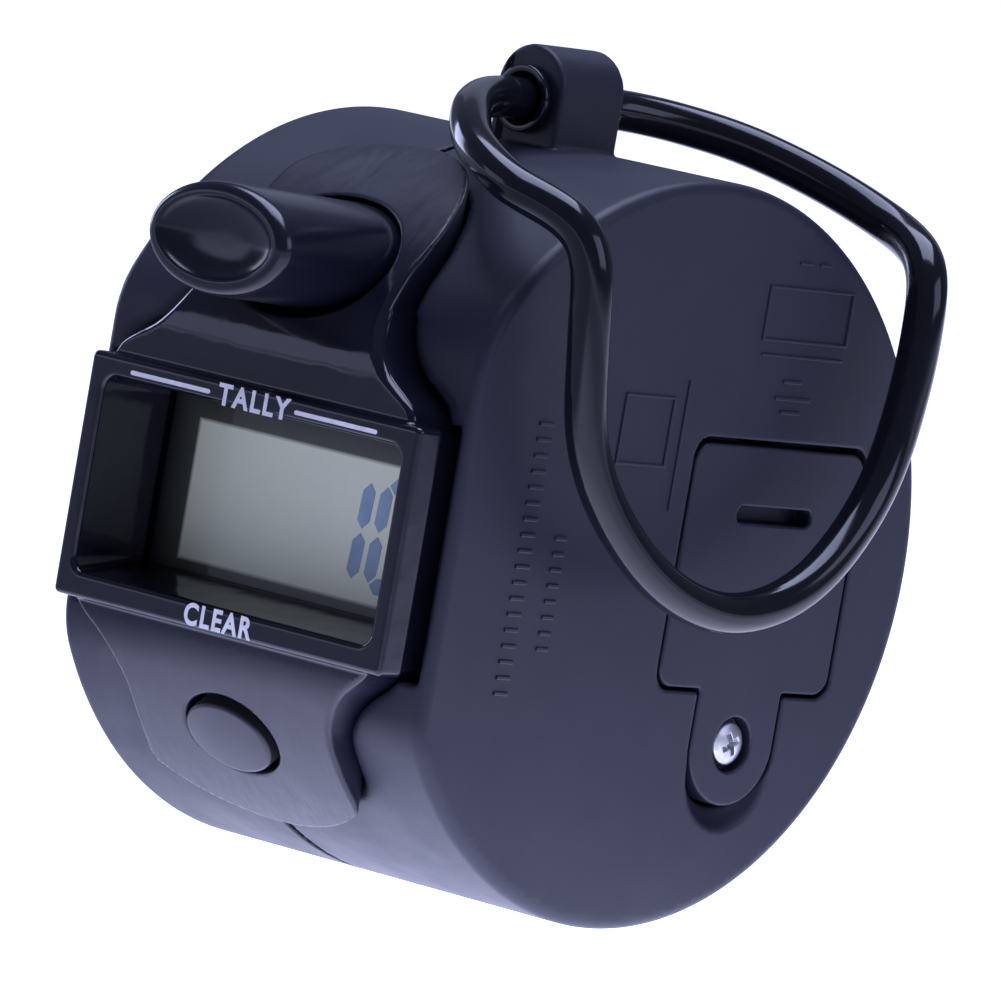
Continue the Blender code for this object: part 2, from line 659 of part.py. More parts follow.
def count_springs():
    """Two coils along the plunger's axis, from the floor of each bore to the board."""
    direction = count_direction()
    near = COUNT_LENGTH - SPRING_BORE_DEPTH + SPRING_WIRE + GAP
    far = (BOARD_FRONT - COUNT_FACE[1]) / direction[1] - SPRING_WIRE - GAP
    steps = 12 * SPRING_TURNS
    for name, x in (("count_spring_left", -SPRING_X), ("count_spring_right", SPRING_X)):
        route = []
        for k in range(steps + 1):
            turn = 2.0 * math.pi * SPRING_TURNS * k / steps
            centre = along((x, *COUNT_FACE[1:]), direction, near + (far - near) * k / steps)
            up = SPRING_RADIUS * math.sin(turn)
            route.append((centre[0] + SPRING_RADIUS * math.cos(turn),
                          centre[1] - up * direction[2], centre[2] + up * direction[1]))
        wire(name, route, SPRING_WIRE, STEEL, 1)


def reset_button():
    half_x, half_up = RESET_HALF_WIDTH, RESET_HALF_HEIGHT
    rim_start, rim_end = RESET_RIM_DEPTH
    stem = RESET_STEM_RADIUS
    sections = [(0.0, half_x - 0.3, half_up - 0.3), (0.12, half_x - 0.08, half_up - 0.08),
                (0.35, half_x, half_up), (rim_start, half_x, half_up),
                (rim_start, half_x + 1.0, half_up + 0.8), (rim_end, half_x + 1.0, half_up + 0.8),
                (rim_end, stem, stem), (RESET_STEM_END, stem, stem)]
    start = reset_point(RESET_FACE_RADIUS)
    oval_loft("reset_button", start, reset_direction(), sections, GLOSS_BLACK, 32, start)
    dome = [(7.5, 1.2, 1.2), (8.0, 1.6, 1.6), (9.4, 1.8, 1.8)]
    oval_loft("reset_dome", start, reset_direction(), dome, RUBBER_GREY, 24)


def battery_bay():
    outer = BODY_HALF_WIDTH
    cover = side_prism("battery_cover", cover_outline(0.0, 0.0), outer - COVER_THICK, outer,
                       SHELL_BLACK, (outer, *TAB_CENTRE))
    soften(cover, 0.2, 1)
    screw_y, screw_z = TAB_CENTRE
    cut(cover, turned("cover_head_hole", "X", TAB_CENTRE,
                      [(outer - SCREW_SEAT, SCREW_HEAD_HOLE), (REACH, SCREW_HEAD_HOLE)]))
    cut(cover, turned("cover_shaft_hole", "X", TAB_CENTRE,
                      [(0.0, SCREW_SHAFT_HOLE), (REACH, SCREW_SHAFT_HOLE)], sides=16))
    low_y, high_y, low_z, high_z = COVER_SLOT
    slot = block("cover_slot", (outer - COVER_SLOT_DEPTH, low_y, low_z),
                 (outer + 1.0, high_y, high_z))
    soften(slot, 0.5, 3)
    cut(cover, slot)
    turned("battery_screw", "X", TAB_CENTRE,
           [(7.6, 0.5), (8.2, 0.8), (outer - 0.65, 0.8), (outer - 0.65, SCREW_HEAD_RADIUS),
            (outer - 0.2, SCREW_HEAD_RADIUS), (outer, 0.9)], STEEL, 20,
           (outer, screw_y, screw_z))
    washer("screw_insert", "X", TAB_CENTRE, 6.9, 11.6, SCREW_SHAFT_HOLE, 1.7, BRASS, 20)
    low_x = outer - RECESS_DEPTH - CELL_THICK + 0.1
    turned("button_cell", "X", CELL_CENTRE,
           [(low_x, 5.0), (low_x + 0.4, 5.0), (low_x + 0.7, CELL_RADIUS),
            (low_x + CELL_THICK - 0.3, CELL_RADIUS), (low_x + CELL_THICK, CELL_RADIUS - 0.3)],
           STEEL, 32)
    contact_x = low_x - GAP
    turned("cell_contact_negative", "X", CELL_CENTRE,
           [(4.6, 0.45), (contact_x - 0.2, 0.45), (contact_x - 0.2, 3.2), (contact_x, 3.2)],
           STEEL, 20)
    cell_y = CELL_CENTRE[0]
    strip_top = CONTACT_Z + 0.45
    strip = block("cell_contact_positive", (7.3, cell_y - 1.3, CONTACT_Z),
                  (11.9, cell_y + 1.3, strip_top), STEEL)
    join(strip, block("positive_pin", (4.6, cell_y - 0.35, CONTACT_Z),
                      (7.8, cell_y + 0.35, strip_top)))


def battery_wires():
    board_back = BOARD_FRONT + BOARD_THICK + GAP
    negative = [(4.2, CELL_CENTRE[0], 0.0), (3.0, 6.0, -0.6), (3.4, -1.0, -3.4),
                (5.0, board_back + 1.6, -4.4), (5.0, board_back, -4.4)]
    positive = [(4.2, CELL_CENTRE[0], 6.4), (3.0, 5.6, 6.2), (3.4, -1.0, 5.2),
                (5.0, board_back + 1.6, 4.4), (5.0, board_back, 4.4)]
    wire("wire_negative", smooth_line(negative, 5), 0.45, ((0.01, 0.01, 0.01), 0.45), 1)
    wire("wire_positive", smooth_line(positive, 5), 0.45, COPPER_RED, 1)


def finger_ring():
    half = [(x, -across, z) for x, across, z in smooth_line(RING_ROUTE, 2)]
    route = half + [(x, -y, z) for x, y, z in reversed(half[:-1])]
    wire("finger_ring", route, WIRE_RADIUS, RING_BLACK, 3, (0.0, 0.0, PIVOT_Z))
    for name, side in (("ring_collar_front", -1), ("ring_collar_rear", 1)):
        near = LUG_HALF_DEPTH + COLLAR_GAP
        ends = sorted(side * at for at in (near, near + COLLAR_LENGTH))
        washer(name, "Y", (0.0, PIVOT_Z), *ends, RING_HOLE_RADIUS, COLLAR_RADIUS, GLOSS_BLACK)


def shell_screws():
    for number, centre in enumerate(SHELL_POSTS, 1):
        turned("shell_screw_%d" % number, "X", centre,
               [(-13.7, 1.3), (-13.4, 1.75), (-12.7, 1.75), (-12.7, 0.95), (3.6, 0.95),
                (4.6, 0.5)], STEEL, 20)


def build():
    clear_scene()
    left_shell()
    right_shell()
    front_panel()
    display()
    circuit_board()
    count_button()
    count_switch()
    count_springs()
    reset_button()
    battery_bay()
    battery_wires()
    finger_ring()
    shell_screws()


build()
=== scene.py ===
"""Looks for the hand tally counter: every visible piece as a smooth moulded form, with its finish.

Shapes are worked out in millimetres in the body's own frame: X is the axis of the round body, the
display faces -Y and Z is up. Moulded pieces are signed distance fields with true fillets, turned
into meshes by a surface net. The plunger, the key, the ring and its collars are rings of points.
"""
import math

import bmesh
import bpy
import numpy as np
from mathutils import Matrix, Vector


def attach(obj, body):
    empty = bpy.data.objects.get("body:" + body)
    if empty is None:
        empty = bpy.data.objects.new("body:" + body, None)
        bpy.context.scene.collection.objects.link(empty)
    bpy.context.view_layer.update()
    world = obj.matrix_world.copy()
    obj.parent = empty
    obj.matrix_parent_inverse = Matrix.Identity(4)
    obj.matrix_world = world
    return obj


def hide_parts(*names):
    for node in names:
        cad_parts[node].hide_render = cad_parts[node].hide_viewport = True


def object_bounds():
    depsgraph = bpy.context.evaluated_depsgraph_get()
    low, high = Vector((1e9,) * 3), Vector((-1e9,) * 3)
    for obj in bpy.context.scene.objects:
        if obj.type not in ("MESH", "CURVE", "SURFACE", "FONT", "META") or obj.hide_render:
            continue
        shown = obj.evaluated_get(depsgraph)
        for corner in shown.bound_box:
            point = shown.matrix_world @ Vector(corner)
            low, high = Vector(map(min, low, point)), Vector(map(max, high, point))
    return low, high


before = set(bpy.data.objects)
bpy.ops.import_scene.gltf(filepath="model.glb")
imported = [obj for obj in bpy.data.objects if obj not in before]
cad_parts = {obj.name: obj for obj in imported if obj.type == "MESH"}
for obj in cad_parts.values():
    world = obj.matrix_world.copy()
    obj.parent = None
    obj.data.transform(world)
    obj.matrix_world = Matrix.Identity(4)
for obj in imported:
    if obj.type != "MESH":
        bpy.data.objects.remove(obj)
CAD_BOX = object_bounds()

MM = 0.001
FRAME_ORIGIN = np.array([3.2, -2.53, -21.98])

# Sizes shared with the CAD model
BODY_RADIUS, BODY_HALF_WIDTH, FRONT_FLAT = 22.0, 14.1, 18.7
TOP_BLEND, BOTTOM_BLEND, WALL = 8.0, 4.0, 1.6
LEFT_FLAT, LEFT_BLEND = 19.7, 6.0
SEAM_X, SEAM_GAP = -1.8, 0.3
PANEL_RADIUS, PANEL_FLAT, PANEL_BLEND, PANEL_THICK = 23.2, 21.2, 6.0, 2.7
NECK = [(-24.0, 8.3), (-16.8, 8.3), (-14.2, 8.05), (-12.1, 8.2), (-9.9, 9.6), (-8.4, 11.4),
        (-7.4, 11.9), (-6.0, 11.9), (5.0, 11.9), (6.1, 11.9), (6.9, 11.6), (8.7, 9.1),
        (11.0, 7.6), (13.2, 7.2), (15.4, 7.3), (18.4, 7.5), (24.0, 7.5)]
UPPER_ARCH = (-0.7, -17.8, 8.0)
LOWER_ARCH = (0.0, -28.5, 15.03)
COUNT_FACE, COUNT_TILT = (-0.45, -26.8, 14.5), math.radians(5.0)
COUNT_HALF = (5.45, 3.25)
COUNT_LENGTH = 12.9
RESET_ANGLE, RESET_X, RESET_FACE_RADIUS = math.radians(-37.4), -0.4, 23.6
RESET_HALF = (3.25, 2.35)
PIVOT_Z = 24.45
SHELL_POSTS = [(3.0, 16.8), (15.4, -10.4), (-2.5, -16.8)]
PANEL_POSTS = [(7.6, 8.2), (-7.6, 8.2), (7.2, -10.2), (-7.2, -10.2)]
POST_BORE, PILOT_BORE = 1.3, 0.85
TAB_CENTRE, TAB_RADIUS = (8.7, -10.7), 3.65
SCOOP_CENTRE = (8.6, -12.2)
CELL_CENTRE = (8.75, 0.0)
COVER_THICK, RECESS_DEPTH = 1.6, 1.9
WIRE_RADIUS, LUG_HALF, COLLAR_SPAN = 1.22, 2.8, (0.15, 0.65)
HOOD_FRONT, GLASS_FRONT = -21.76, -15.9

# Sizes that only the drawn pieces have
OPENING_DEPTH, DISPLAY_Z = 5.6, -0.95
COUNT_HOLE_LIFT, COUNT_HOLE_GAP = 0.32, (0.4, 0.5)
RESET_HOLE_SHIFT, RESET_HOLE_GAP = (0.2, 0.14), 0.32
LEFT_TRIM, RIGHT_TRIM = 0.12, 0.08  # how far each shell's edge is cut back at the seam
LIP_DEPTH, LIP_REACH = 0.55, 0.45  # the right shell's lip behind the seam
COVER_GAP, COVER_TOP_GAP = 0.2, 0.35
PLUNGER_TILT = COUNT_TILT - math.radians(3.0)
PLUNGER_EDGE, DISH_DEPTH, DISH_EASE = 0.75, 0.9, 0.1
KEY_EDGE, KEY_DOME = 0.3, 0.16
SMALLEST_RING = 0.004  # share of the oval left around a key's middle


def place(points):
    """Body frame in millimetres to the row frame in metres."""
    return (np.asarray(points, float) - FRAME_ORIGIN) * MM


# ---------------------------------------------------------------- distance fields

def length2(a, b):
    return np.sqrt(a * a + b * b)


def round_max(a, b, r):
    """Intersection of two solids, with a convex edge of radius r."""
    return np.minimum(np.maximum(a, b), -r) + length2(np.maximum(a + r, 0.0),
                                                       np.maximum(b + r, 0.0))


def round_min(a, b, r):
    """Union of two solids, with a concave fillet of radius r."""
    return np.maximum(np.minimum(a, b), r) - length2(np.maximum(r - a, 0.0),
                                                      np.maximum(r - b, 0.0))


def flatted(y, z, radius, flat, blend):
    """A circle cut by a flat front, with both corners rounded."""
    inner, edge = radius - blend, flat - blend
    corner = math.sqrt(inner * inner - edge * edge)
    az = np.abs(z)
    circle = length2(y, z) - inner
    plane = -y - edge
    at_corner = length2(y + edge, az - corner)
    outside = (plane > 0) & (az > corner)
    beyond = np.where(y * corner + az * edge > 0, circle, at_corner)
    d = np.where(outside, beyond, np.maximum(circle, plane))
    return d - blend


def body_outline(y, z, side, inset=0.0):
    """The round body seen from the side; the left half is fuller in front."""
    radius = BODY_RADIUS - inset
    if side < 0:
        return flatted(y, z, radius, LEFT_FLAT - inset, LEFT_BLEND - inset)
    top = flatted(y, z, radius, FRONT_FLAT - inset, TOP_BLEND - inset)
    bottom = flatted(y, z, radius, FRONT_FLAT - inset, BOTTOM_BLEND - inset)
    return np.where(z > 0, top, bottom)


def box(x, y, z, low, high, r=0.0):
    """A box whose edges all have radius r."""
    d = []
    for v, a, b in zip((x, y, z), low, high):
        d.append(np.abs(v - (a + b) / 2) - (b - a) / 2 + r)
    outside = np.sqrt(sum(np.maximum(v, 0.0) ** 2 for v in d))
    return outside + np.minimum(np.maximum(np.maximum(d[0], d[1]), d[2]), 0.0) - r


def rect(u, v, centre, half, r):
    a = np.abs(u - centre[0]) - half[0] + r
    b = np.abs(v - centre[1]) - half[1] + r
    return length2(np.maximum(a, 0.0), np.maximum(b, 0.0)) + np.minimum(np.maximum(a, b), 0.0) - r


def oval(u, v, half_u, half_v):
    """Close to the distance from an ellipse."""
    k0 = length2(u / half_u, v / half_v) + 1e-6
    k1 = length2(u / half_u ** 2, v / half_v ** 2) + 1e-9
    return k0 * (k0 - 1.0) / k1


def hermite_table(points):
    """A smooth curve through (at, value) points, as a fine table of values and slopes."""
    at = np.array([p[0] for p in points])
    value = np.array([p[1] for p in points])
    slope = np.gradient(value, at)
    fine = np.linspace(at[0], at[-1], 2400)
    k = np.clip(np.searchsorted(at, fine) - 1, 0, len(at) - 2)
    h = at[k + 1] - at[k]
    t = (fine - at[k]) / h
    f = ((2 * t ** 3 - 3 * t ** 2 + 1) * value[k] + (t ** 3 - 2 * t ** 2 + t) * h * slope[k]
         + (3 * t ** 2 - 2 * t ** 3) * value[k + 1] + (t ** 3 - t ** 2) * h * slope[k + 1])
    return fine, f, np.gradient(f, fine)


NECK_AT, NECK_WIDTH, NECK_SLOPE = hermite_table(NECK)


def panel_region(x, y, z, grow):
    """Front view of the panel, cut off behind the two arches."""
    width = np.interp(z, NECK_AT, NECK_WIDTH)
    slope = np.interp(z, NECK_AT, NECK_SLOPE)
    sides = (np.abs(x) - width) / np.sqrt(1.0 + slope * slope) - grow
    arches = []
    for cx, cy, radius in (UPPER_ARCH, LOWER_ARCH):
        front = np.maximum(cy - y, 0.0)
        arches.append(length2(x - cx, np.maximum(y - cy, 0.0)) - radius - grow - 0.15 * front)
    arch = np.where(z > 0, arches[0], arches[1])
    arch = np.where(np.abs(z) < 12.0, -9.0, arch)
    return round_max(sides, arch, 0.5)


def hump(v, low, high):
    """Rises from 0 to 1 and falls back between two heights."""
    t = np.clip((v - low) / (high - low), 0.0, 1.0)
    return (4.0 * t * (1.0 - t)) ** 0.7


def along_axis(y, z, start, angle):
    """Distance along an axis that goes in from a face, and across it upwards."""
    dy, dz = math.cos(angle), -math.sin(angle)
    return (y - start[1]) * dy + (z - start[2]) * dz, -(y - start[1]) * dz + (z - start[2]) * dy


RESET_START = (RESET_X, -RESET_FACE_RADIUS * math.cos(RESET_ANGLE),
               RESET_FACE_RADIUS * math.sin(RESET_ANGLE))


def count_hole(x, y, z):
    start = (COUNT_FACE[0], COUNT_FACE[1], COUNT_FACE[2] + COUNT_HOLE_LIFT)
    at, up = along_axis(y, z, start, COUNT_TILT)
    half_u, half_v = (half + gap for half, gap in zip(COUNT_HALF, COUNT_HOLE_GAP))
    return np.maximum(oval(x - start[0], up, half_u, half_v), 2.0 - at)


def reset_hole(x, y, z):
    at, up = along_axis(y, z, RESET_START, RESET_ANGLE)
    half_u, half_v = (half + RESET_HOLE_GAP for half in RESET_HALF)
    hole = oval(x - RESET_X - RESET_HOLE_SHIFT[0], up - RESET_HOLE_SHIFT[1], half_u, half_v)
    return np.maximum(np.maximum(hole, -2.0 - at), at - 6.5)


def front_panel_field(x, y, z):
    """The curved panel with the display hood on its front and four posts behind it."""
    face = flatted(y, z, PANEL_RADIUS, PANEL_FLAT, PANEL_BLEND)
    core = flatted(y, z, PANEL_RADIUS - PANEL_THICK, PANEL_FLAT - PANEL_THICK - 1.3, PANEL_BLEND)
    d = round_max(panel_region(x, y, z, 0.0), face, 0.25 + 0.4 * hump(z, 6.0, 16.0))
    d = np.maximum(np.maximum(d, -core), y + 6.0)
    neck = box(x, y, z, (-12.3, -20.96, -7.85), (12.3, -16.2, 5.95), 0.3)
    lip = box(x, y, z, (-13.04, HOOD_FRONT, -8.1), (13.04, -19.66, 6.2), 0.35)
    d = round_min(d, neck, 0.25)
    d = round_min(d, lip, 0.25)
    for px, pz in PANEL_POSTS:
        post = np.maximum(length2(x - px, z - pz) - 1.3, np.maximum(-18.6 - y, y + 9.8))
        d = np.minimum(d, post)
    # The display opening tapers inwards
    depth = np.clip((y - HOOD_FRONT) / OPENING_DEPTH, 0.0, 1.0)
    top, bottom = 4.95 - 0.55 * depth, -6.6 + 0.95 * depth
    cavity = rect(x, z, (0.0, (top + bottom) / 2), (11.85 - 0.5 * depth, (top - bottom) / 2),
                  0.9 - 0.6 * depth)
    d = round_max(d, -np.maximum(cavity, y + 15.0), 0.35)
    d = round_max(d, -count_hole(x, y, z), 0.3)
    d = round_max(d, -reset_hole(x, y, z), 0.25)
    for px, pz in PANEL_POSTS:
        pilot = np.maximum(length2(x - px, z - pz) - PILOT_BORE, -15.5 - y)
        d = np.maximum(d, -pilot)
    return d


def shell_common(x, y, z, side, seam, lip_reach):
    """Half of the body with the openings for the panel and the hood, hollowed out.

    Deeper than LIP_DEPTH its wall goes lip_reach past the seam, so no light comes through.
    """
    d = round_max(body_outline(y, z, side), side * x - BODY_HALF_WIDTH, 0.7)
    opening = np.maximum(panel_region(x, y, z, 0.2), y + 6.0)
    # The edge is rounder in the two waists, above and below the display
    edge = 0.16 + 1.1 * hump(z, 5.0, 16.5) + 0.5 * hump(z, -16.0, -7.5)
    d = round_max(d, -opening, edge)
    beyond = side * (seam - x)
    lip = np.maximum(np.maximum(d, body_outline(y, z, side, LIP_DEPTH)), beyond - lip_reach)
    d = np.minimum(round_max(d, beyond, 0.1), lip)
    hollow = np.maximum(body_outline(y, z, side, WALL), np.abs(x) - BODY_HALF_WIDTH + WALL)
    d = np.maximum(d, -hollow)
    hood = box(x, y, z, (-13.3, -27.0, -8.4), (13.3, -15.8, 6.5), 0.3)
    return round_max(d, -hood, 0.25)


def left_shell_field(x, y, z):
    """Left half, with screw posts, their recesses and a notch beside the lug."""
    seam = SEAM_X - SEAM_GAP / 2 - LEFT_TRIM
    d = shell_common(x, y, z, -1, seam, 0.0)
    for py, pz in SHELL_POSTS:
        post = np.maximum(length2(y - py, z - pz) - 2.2 - 0.06 * np.maximum(-x, 0.0),
                          np.maximum(x - seam, -13.0 - x))
        d = np.minimum(d, np.maximum(post, body_outline(y, z, -1, 0.4)))
    notch = box(x, y, z, (-2.9, -3.1, 19.0), (2.0, 3.1, 24.0))
    d = round_max(d, -notch, 0.12)
    for py, pz in SHELL_POSTS:
        r = length2(y - py, z - pz)
        d = round_max(d, -np.maximum(r - 2.1, x + 12.4), 0.15)
        d = np.maximum(d, -np.maximum(r - POST_BORE, -13.5 - x))
    return d


def cover_outline(y, z, grow, top_grow):
    top, bottom = 6.9 + top_grow, -7.5 - grow
    centre = (CELL_CENTRE[0], (top + bottom) / 2)
    plate = rect(y, z, centre, (7.6 + grow, (top - bottom) / 2), 1.2)
    tab = length2(y - TAB_CENTRE[0], np.minimum(z - TAB_CENTRE[1], 0.0)) - TAB_RADIUS - grow
    tab = np.maximum(tab, z + 5.0)
    return round_min(plate, tab, 0.2)


def right_shell_field(x, y, z):
    """Right half, with the lug, screw posts, battery bay, cover recess and finger scoop."""
    seam = SEAM_X + SEAM_GAP / 2 + RIGHT_TRIM
    face = BODY_HALF_WIDTH
    d = shell_common(x, y, z, 1, seam, LIP_REACH)
    lug = length2(x, np.maximum(z - 25.1, 0.0)) - 2.6
    lug = np.maximum(round_max(lug, np.abs(y) - LUG_HALF, 0.3), 20.6 - z)
    d = np.where(x < seam + 0.4, np.minimum(d, lug), round_min(d, lug, 0.2))
    cell = length2(y - CELL_CENTRE[0], z - CELL_CENTRE[1])
    tab = length2(y - TAB_CENTRE[0], z - TAB_CENTRE[1])
    # Walls of the battery bay, the ledge for the cover and the screw's boss
    d = np.minimum(d, np.maximum(cell - 7.5, np.abs(x - 9.2) - 3.7))
    d = np.minimum(d, box(x, y, z, (10.9, 0.1, -8.4), (12.95, 17.2, 8.7)))
    d = np.minimum(d, np.maximum(tab - 3.4, np.abs(x - 9.2) - 3.75))
    for py, pz in SHELL_POSTS:
        post = np.maximum(length2(y - py, z - pz) - 2.3, np.maximum(seam - x, x - 13.0))
        d = np.minimum(d, np.maximum(post, body_outline(y, z, 1, 0.4)))
    outline = cover_outline(y, z, COVER_GAP, COVER_TOP_GAP)
    recess = np.maximum(outline, face - RECESS_DEPTH - x)
    d = round_max(d, -recess, 0.12)
    scoop = length2(y - SCOOP_CENTRE[0], z - SCOOP_CENTRE[1])
    scoop = np.maximum(length2(scoop, x - face - 3.1) - 4.75, scoop - TAB_RADIUS)
    d = round_max(d, -scoop, 0.15)
    # Bores for the cell, its contacts, the screw's insert and the ring
    d = np.maximum(d, -np.maximum(cell - 6.1, 6.2 - x))
    d = np.maximum(d, -box(x, y, z, (6.9, 6.95, 4.0), (13.0, 10.55, 6.95)))
    d = np.maximum(d, -np.maximum(tab - 2.0, 6.4 - x))
    d = round_max(d, -(length2(x, z - PIVOT_Z) - 1.55), 0.15)
    for py, pz in SHELL_POSTS:
        d = np.maximum(d, -np.maximum(length2(y - py, z - pz) - POST_BORE, x - 6.0))
    return d


def cover_field(x, y, z):
    """The battery cover, with its screw recess and pry slot."""
    face = BODY_HALF_WIDTH
    half = COVER_THICK / 2
    d = round_max(cover_outline(y, z, 0.0, 0.0), np.abs(x - face + half) - half, 0.16)
    tab = length2(y - TAB_CENTRE[0], z - TAB_CENTRE[1])
    d = round_max(d, -np.maximum(tab - 1.65, face - 0.95 - x), 0.12)
    d = np.maximum(d, -(tab - 1.1))
    slot = np.maximum(rect(y, z, (8.95, 2.875), (3.35, 0.5), 0.45), face - 1.3 - x)
    return round_max(d, -slot, 0.12)


def screw_field(x, y, z):
    """A domed head with a cross recess, on a pointed thread."""
    face = BODY_HALF_WIDTH
    y, z = y - TAB_CENTRE[0], z - TAB_CENTRE[1]
    turn = math.radians(28.0)
    u, v = y * math.cos(turn) + z * math.sin(turn), z * math.cos(turn) - y * math.sin(turn)
    r = length2(y, z)
    dome = np.sqrt(r * r + (x - face + 2.6) ** 2) - 2.6
    head = round_max(round_max(r - 1.3, dome, 0.12), face - 0.65 - x, 0.05)
    thread = 0.8 - 0.08 * np.cos(2 * math.pi * (x / 0.55) - np.arctan2(z, y))
    shaft = np.maximum(r - np.minimum(thread, np.maximum(x - 7.6, 0.0) * 0.9 + 0.3),
                       np.maximum(7.6 - x, x - face + 0.5))
    d = np.minimum(head, shaft * 0.8)
    deep = x - face + 0.62
    arms = [np.maximum(np.abs(b) - 0.16 - 0.02 * deep, np.abs(a) - 0.42 - 0.55 * deep)
            for a, b in ((u, v), (v, u))]
    cross = np.maximum(np.minimum(*arms), -deep)
    return round_max(d, -cross, 0.04)


# ---------------------------------------------------------------- surface net

def grid_lines(low, high, coarse, *fine):
    """Grid lines from low to high, closer together in each (start, end, step) stretch."""
    lines = [low]
    while lines[-1] < high:
        at = lines[-1]
        step = coarse
        for start, end, small in fine:
            if start - 1e-6 <= at < end:
                step = min(step, small)
            elif at < start < at + step:
                step = start - at
        lines.append(at + max(step, 0.02))
    return np.array(lines)


def gradient(field, p, h=0.05):
    g = np.empty_like(p)
    for axis in range(3):
        e = np.zeros(3)
        e[axis] = h
        a, b = p + e, p - e
        g[:, axis] = field(a[:, 0], a[:, 1], a[:, 2]) - field(b[:, 0], b[:, 1], b[:, 2])
    return g / (2.0 * h)


def surface_net(field, xs, ys, zs, slab=24, newton_steps=4):
    """Vertices, quads and normals of a field's zero surface on a rectilinear grid."""
    lines = (xs, ys, zs)
    shape = tuple(len(v) for v in lines)
    full = np.empty(shape, np.float32)
    for start in range(0, shape[0], slab):
        part = slice(start, start + slab)
        value = field(xs[part, None, None], ys[None, :, None], zs[None, None, :])
        full[part] = np.broadcast_to(value, full[part].shape)
    inside = full < 0
    cells = tuple(n - 1 for n in shape)
    ids, crossings, quads = [], [], []
    for axis in range(3):
        low = [slice(None)] * 3
        high = [slice(None)] * 3
        low[axis], high[axis] = slice(0, -1), slice(1, None)
        low, high = tuple(low), tuple(high)
        where = np.array(np.nonzero(inside[low] != inside[high])).T
        other = where.copy()
        other[:, axis] += 1
        v0 = full[tuple(where.T)].astype(float)
        v1 = full[tuple(other.T)].astype(float)
        t = v0 / (v0 - v1)
        p = np.stack([lines[k][where[:, k]] for k in range(3)], 1)
        p[:, axis] += t * (lines[axis][other[:, axis]] - lines[axis][where[:, axis]])
        b, c = (axis + 1) % 3, (axis + 2) % 3
        around = []
        for db, dc in ((-1, -1), (0, -1), (0, 0), (-1, 0)):
            cell = where.copy()
            cell[:, b] += db
            cell[:, c] += dc
            around.append(cell)
        keep = np.ones(len(where), bool)
        for cell in around:
            for k in range(3):
                keep &= (cell[:, k] >= 0) & (cell[:, k] < cells[k])
        flat = [np.ravel_multi_index(tuple(cell[keep].T), cells) for cell in around]
        for f in flat:
            ids.append(f)
            crossings.append(p[keep])
        quad = np.stack(flat, 1)
        turn = v0[keep] > 0
        quad[turn] = quad[turn][:, ::-1]
        quads.append(quad)
    ids = np.concatenate(ids)
    crossings = np.concatenate(crossings)
    quads = np.concatenate(quads)
    used, inverse = np.unique(ids, return_inverse=True)
    count = np.bincount(inverse)
    points = np.stack([np.bincount(inverse, crossings[:, k]) / count for k in range(3)], 1)
    quads = np.searchsorted(used, quads)
    cell = np.array(np.unravel_index(used, cells))
    room = np.stack([np.diff(lines[k])[cell[k]] for k in range(3)], 1)
    start = points.copy()
    for _ in range(newton_steps):
        g = gradient(field, points, 0.02)
        size = np.maximum((g * g).sum(1), 0.05)
        value = field(points[:, 0], points[:, 1], points[:, 2])
        points = points - (value / size)[:, None] * g
        points = np.clip(points, start - 0.8 * room, start + 0.8 * room)
    normals = gradient(field, points, 0.05)
    normals /= np.linalg.norm(normals, axis=1)[:, None] + 1e-9
    return points, quads, normals


def new_object(name, data):
    item = bpy.data.objects.new(name, data)
    bpy.context.scene.collection.objects.link(item)
    return item


def moulded(name, field, *lines):
    """A smooth mesh object from a field in the body frame, on three sets of grid lines."""
    points, faces, normals = surface_net(field, *lines)
    mesh = bpy.data.meshes.new(name)
    faces = np.asarray(faces, np.int32)
    mesh.vertices.add(len(points))
    mesh.vertices.foreach_set("co", place(points).astype(np.float32).ravel())
    mesh.loops.add(faces.size)
    mesh.loops.foreach_set("vertex_index", faces.ravel())
    mesh.polygons.add(len(faces))
    mesh.polygons.foreach_set("loop_start", np.arange(0, faces.size, faces.shape[1], np.int32))
    mesh.update(calc_edges=True)
    mesh.validate()
    mesh.shade_smooth()
    if len(mesh.vertices) == len(normals):
        mesh.normals_split_custom_set_from_vertices(normals.tolist())
    return new_object(name, mesh)


# ---------------------------------------------------------------- swept and turned pieces

def bridged(name, rings, closed_loop=False):
    """A mesh from rings of equally many points: a loop, or closed by fans at both ends."""
    n = len(rings[0])
    points = np.concatenate(rings)
    faces = []
    levels = len(rings) if closed_loop else len(rings) - 1
    for level in range(levels):
        a, b = level * n, (level + 1) % len(rings) * n
        for k in range(n):
            j = (k + 1) % n
            faces.append((a + k, a + j, b + j, b + k))
    if not closed_loop:
        first, last, top = len(points), len(points) + 1, len(points) - n
        points = np.concatenate([points, [rings[0].mean(0), rings[-1].mean(0)]])
        for k in range(n):
            j = (k + 1) % n
            faces.append((first, j, k))
            faces.append((last, top + k, top + j))
    mesh = bpy.data.meshes.new(name)
    mesh.from_pydata(place(points).tolist(), [], faces)
    mesh.validate()
    fix_normals(mesh)
    return new_object(name, mesh)


def fix_normals(mesh, angle=40.0):
    work = bmesh.new()
    work.from_mesh(mesh)
    bmesh.ops.recalc_face_normals(work, faces=work.faces)
    work.to_mesh(mesh)
    work.free()
    mesh.shade_smooth()
    mesh.set_sharp_from_angle(angle=math.radians(angle))


def full_turn(sides):
    return np.linspace(0.0, 2.0 * math.pi, sides, endpoint=False)


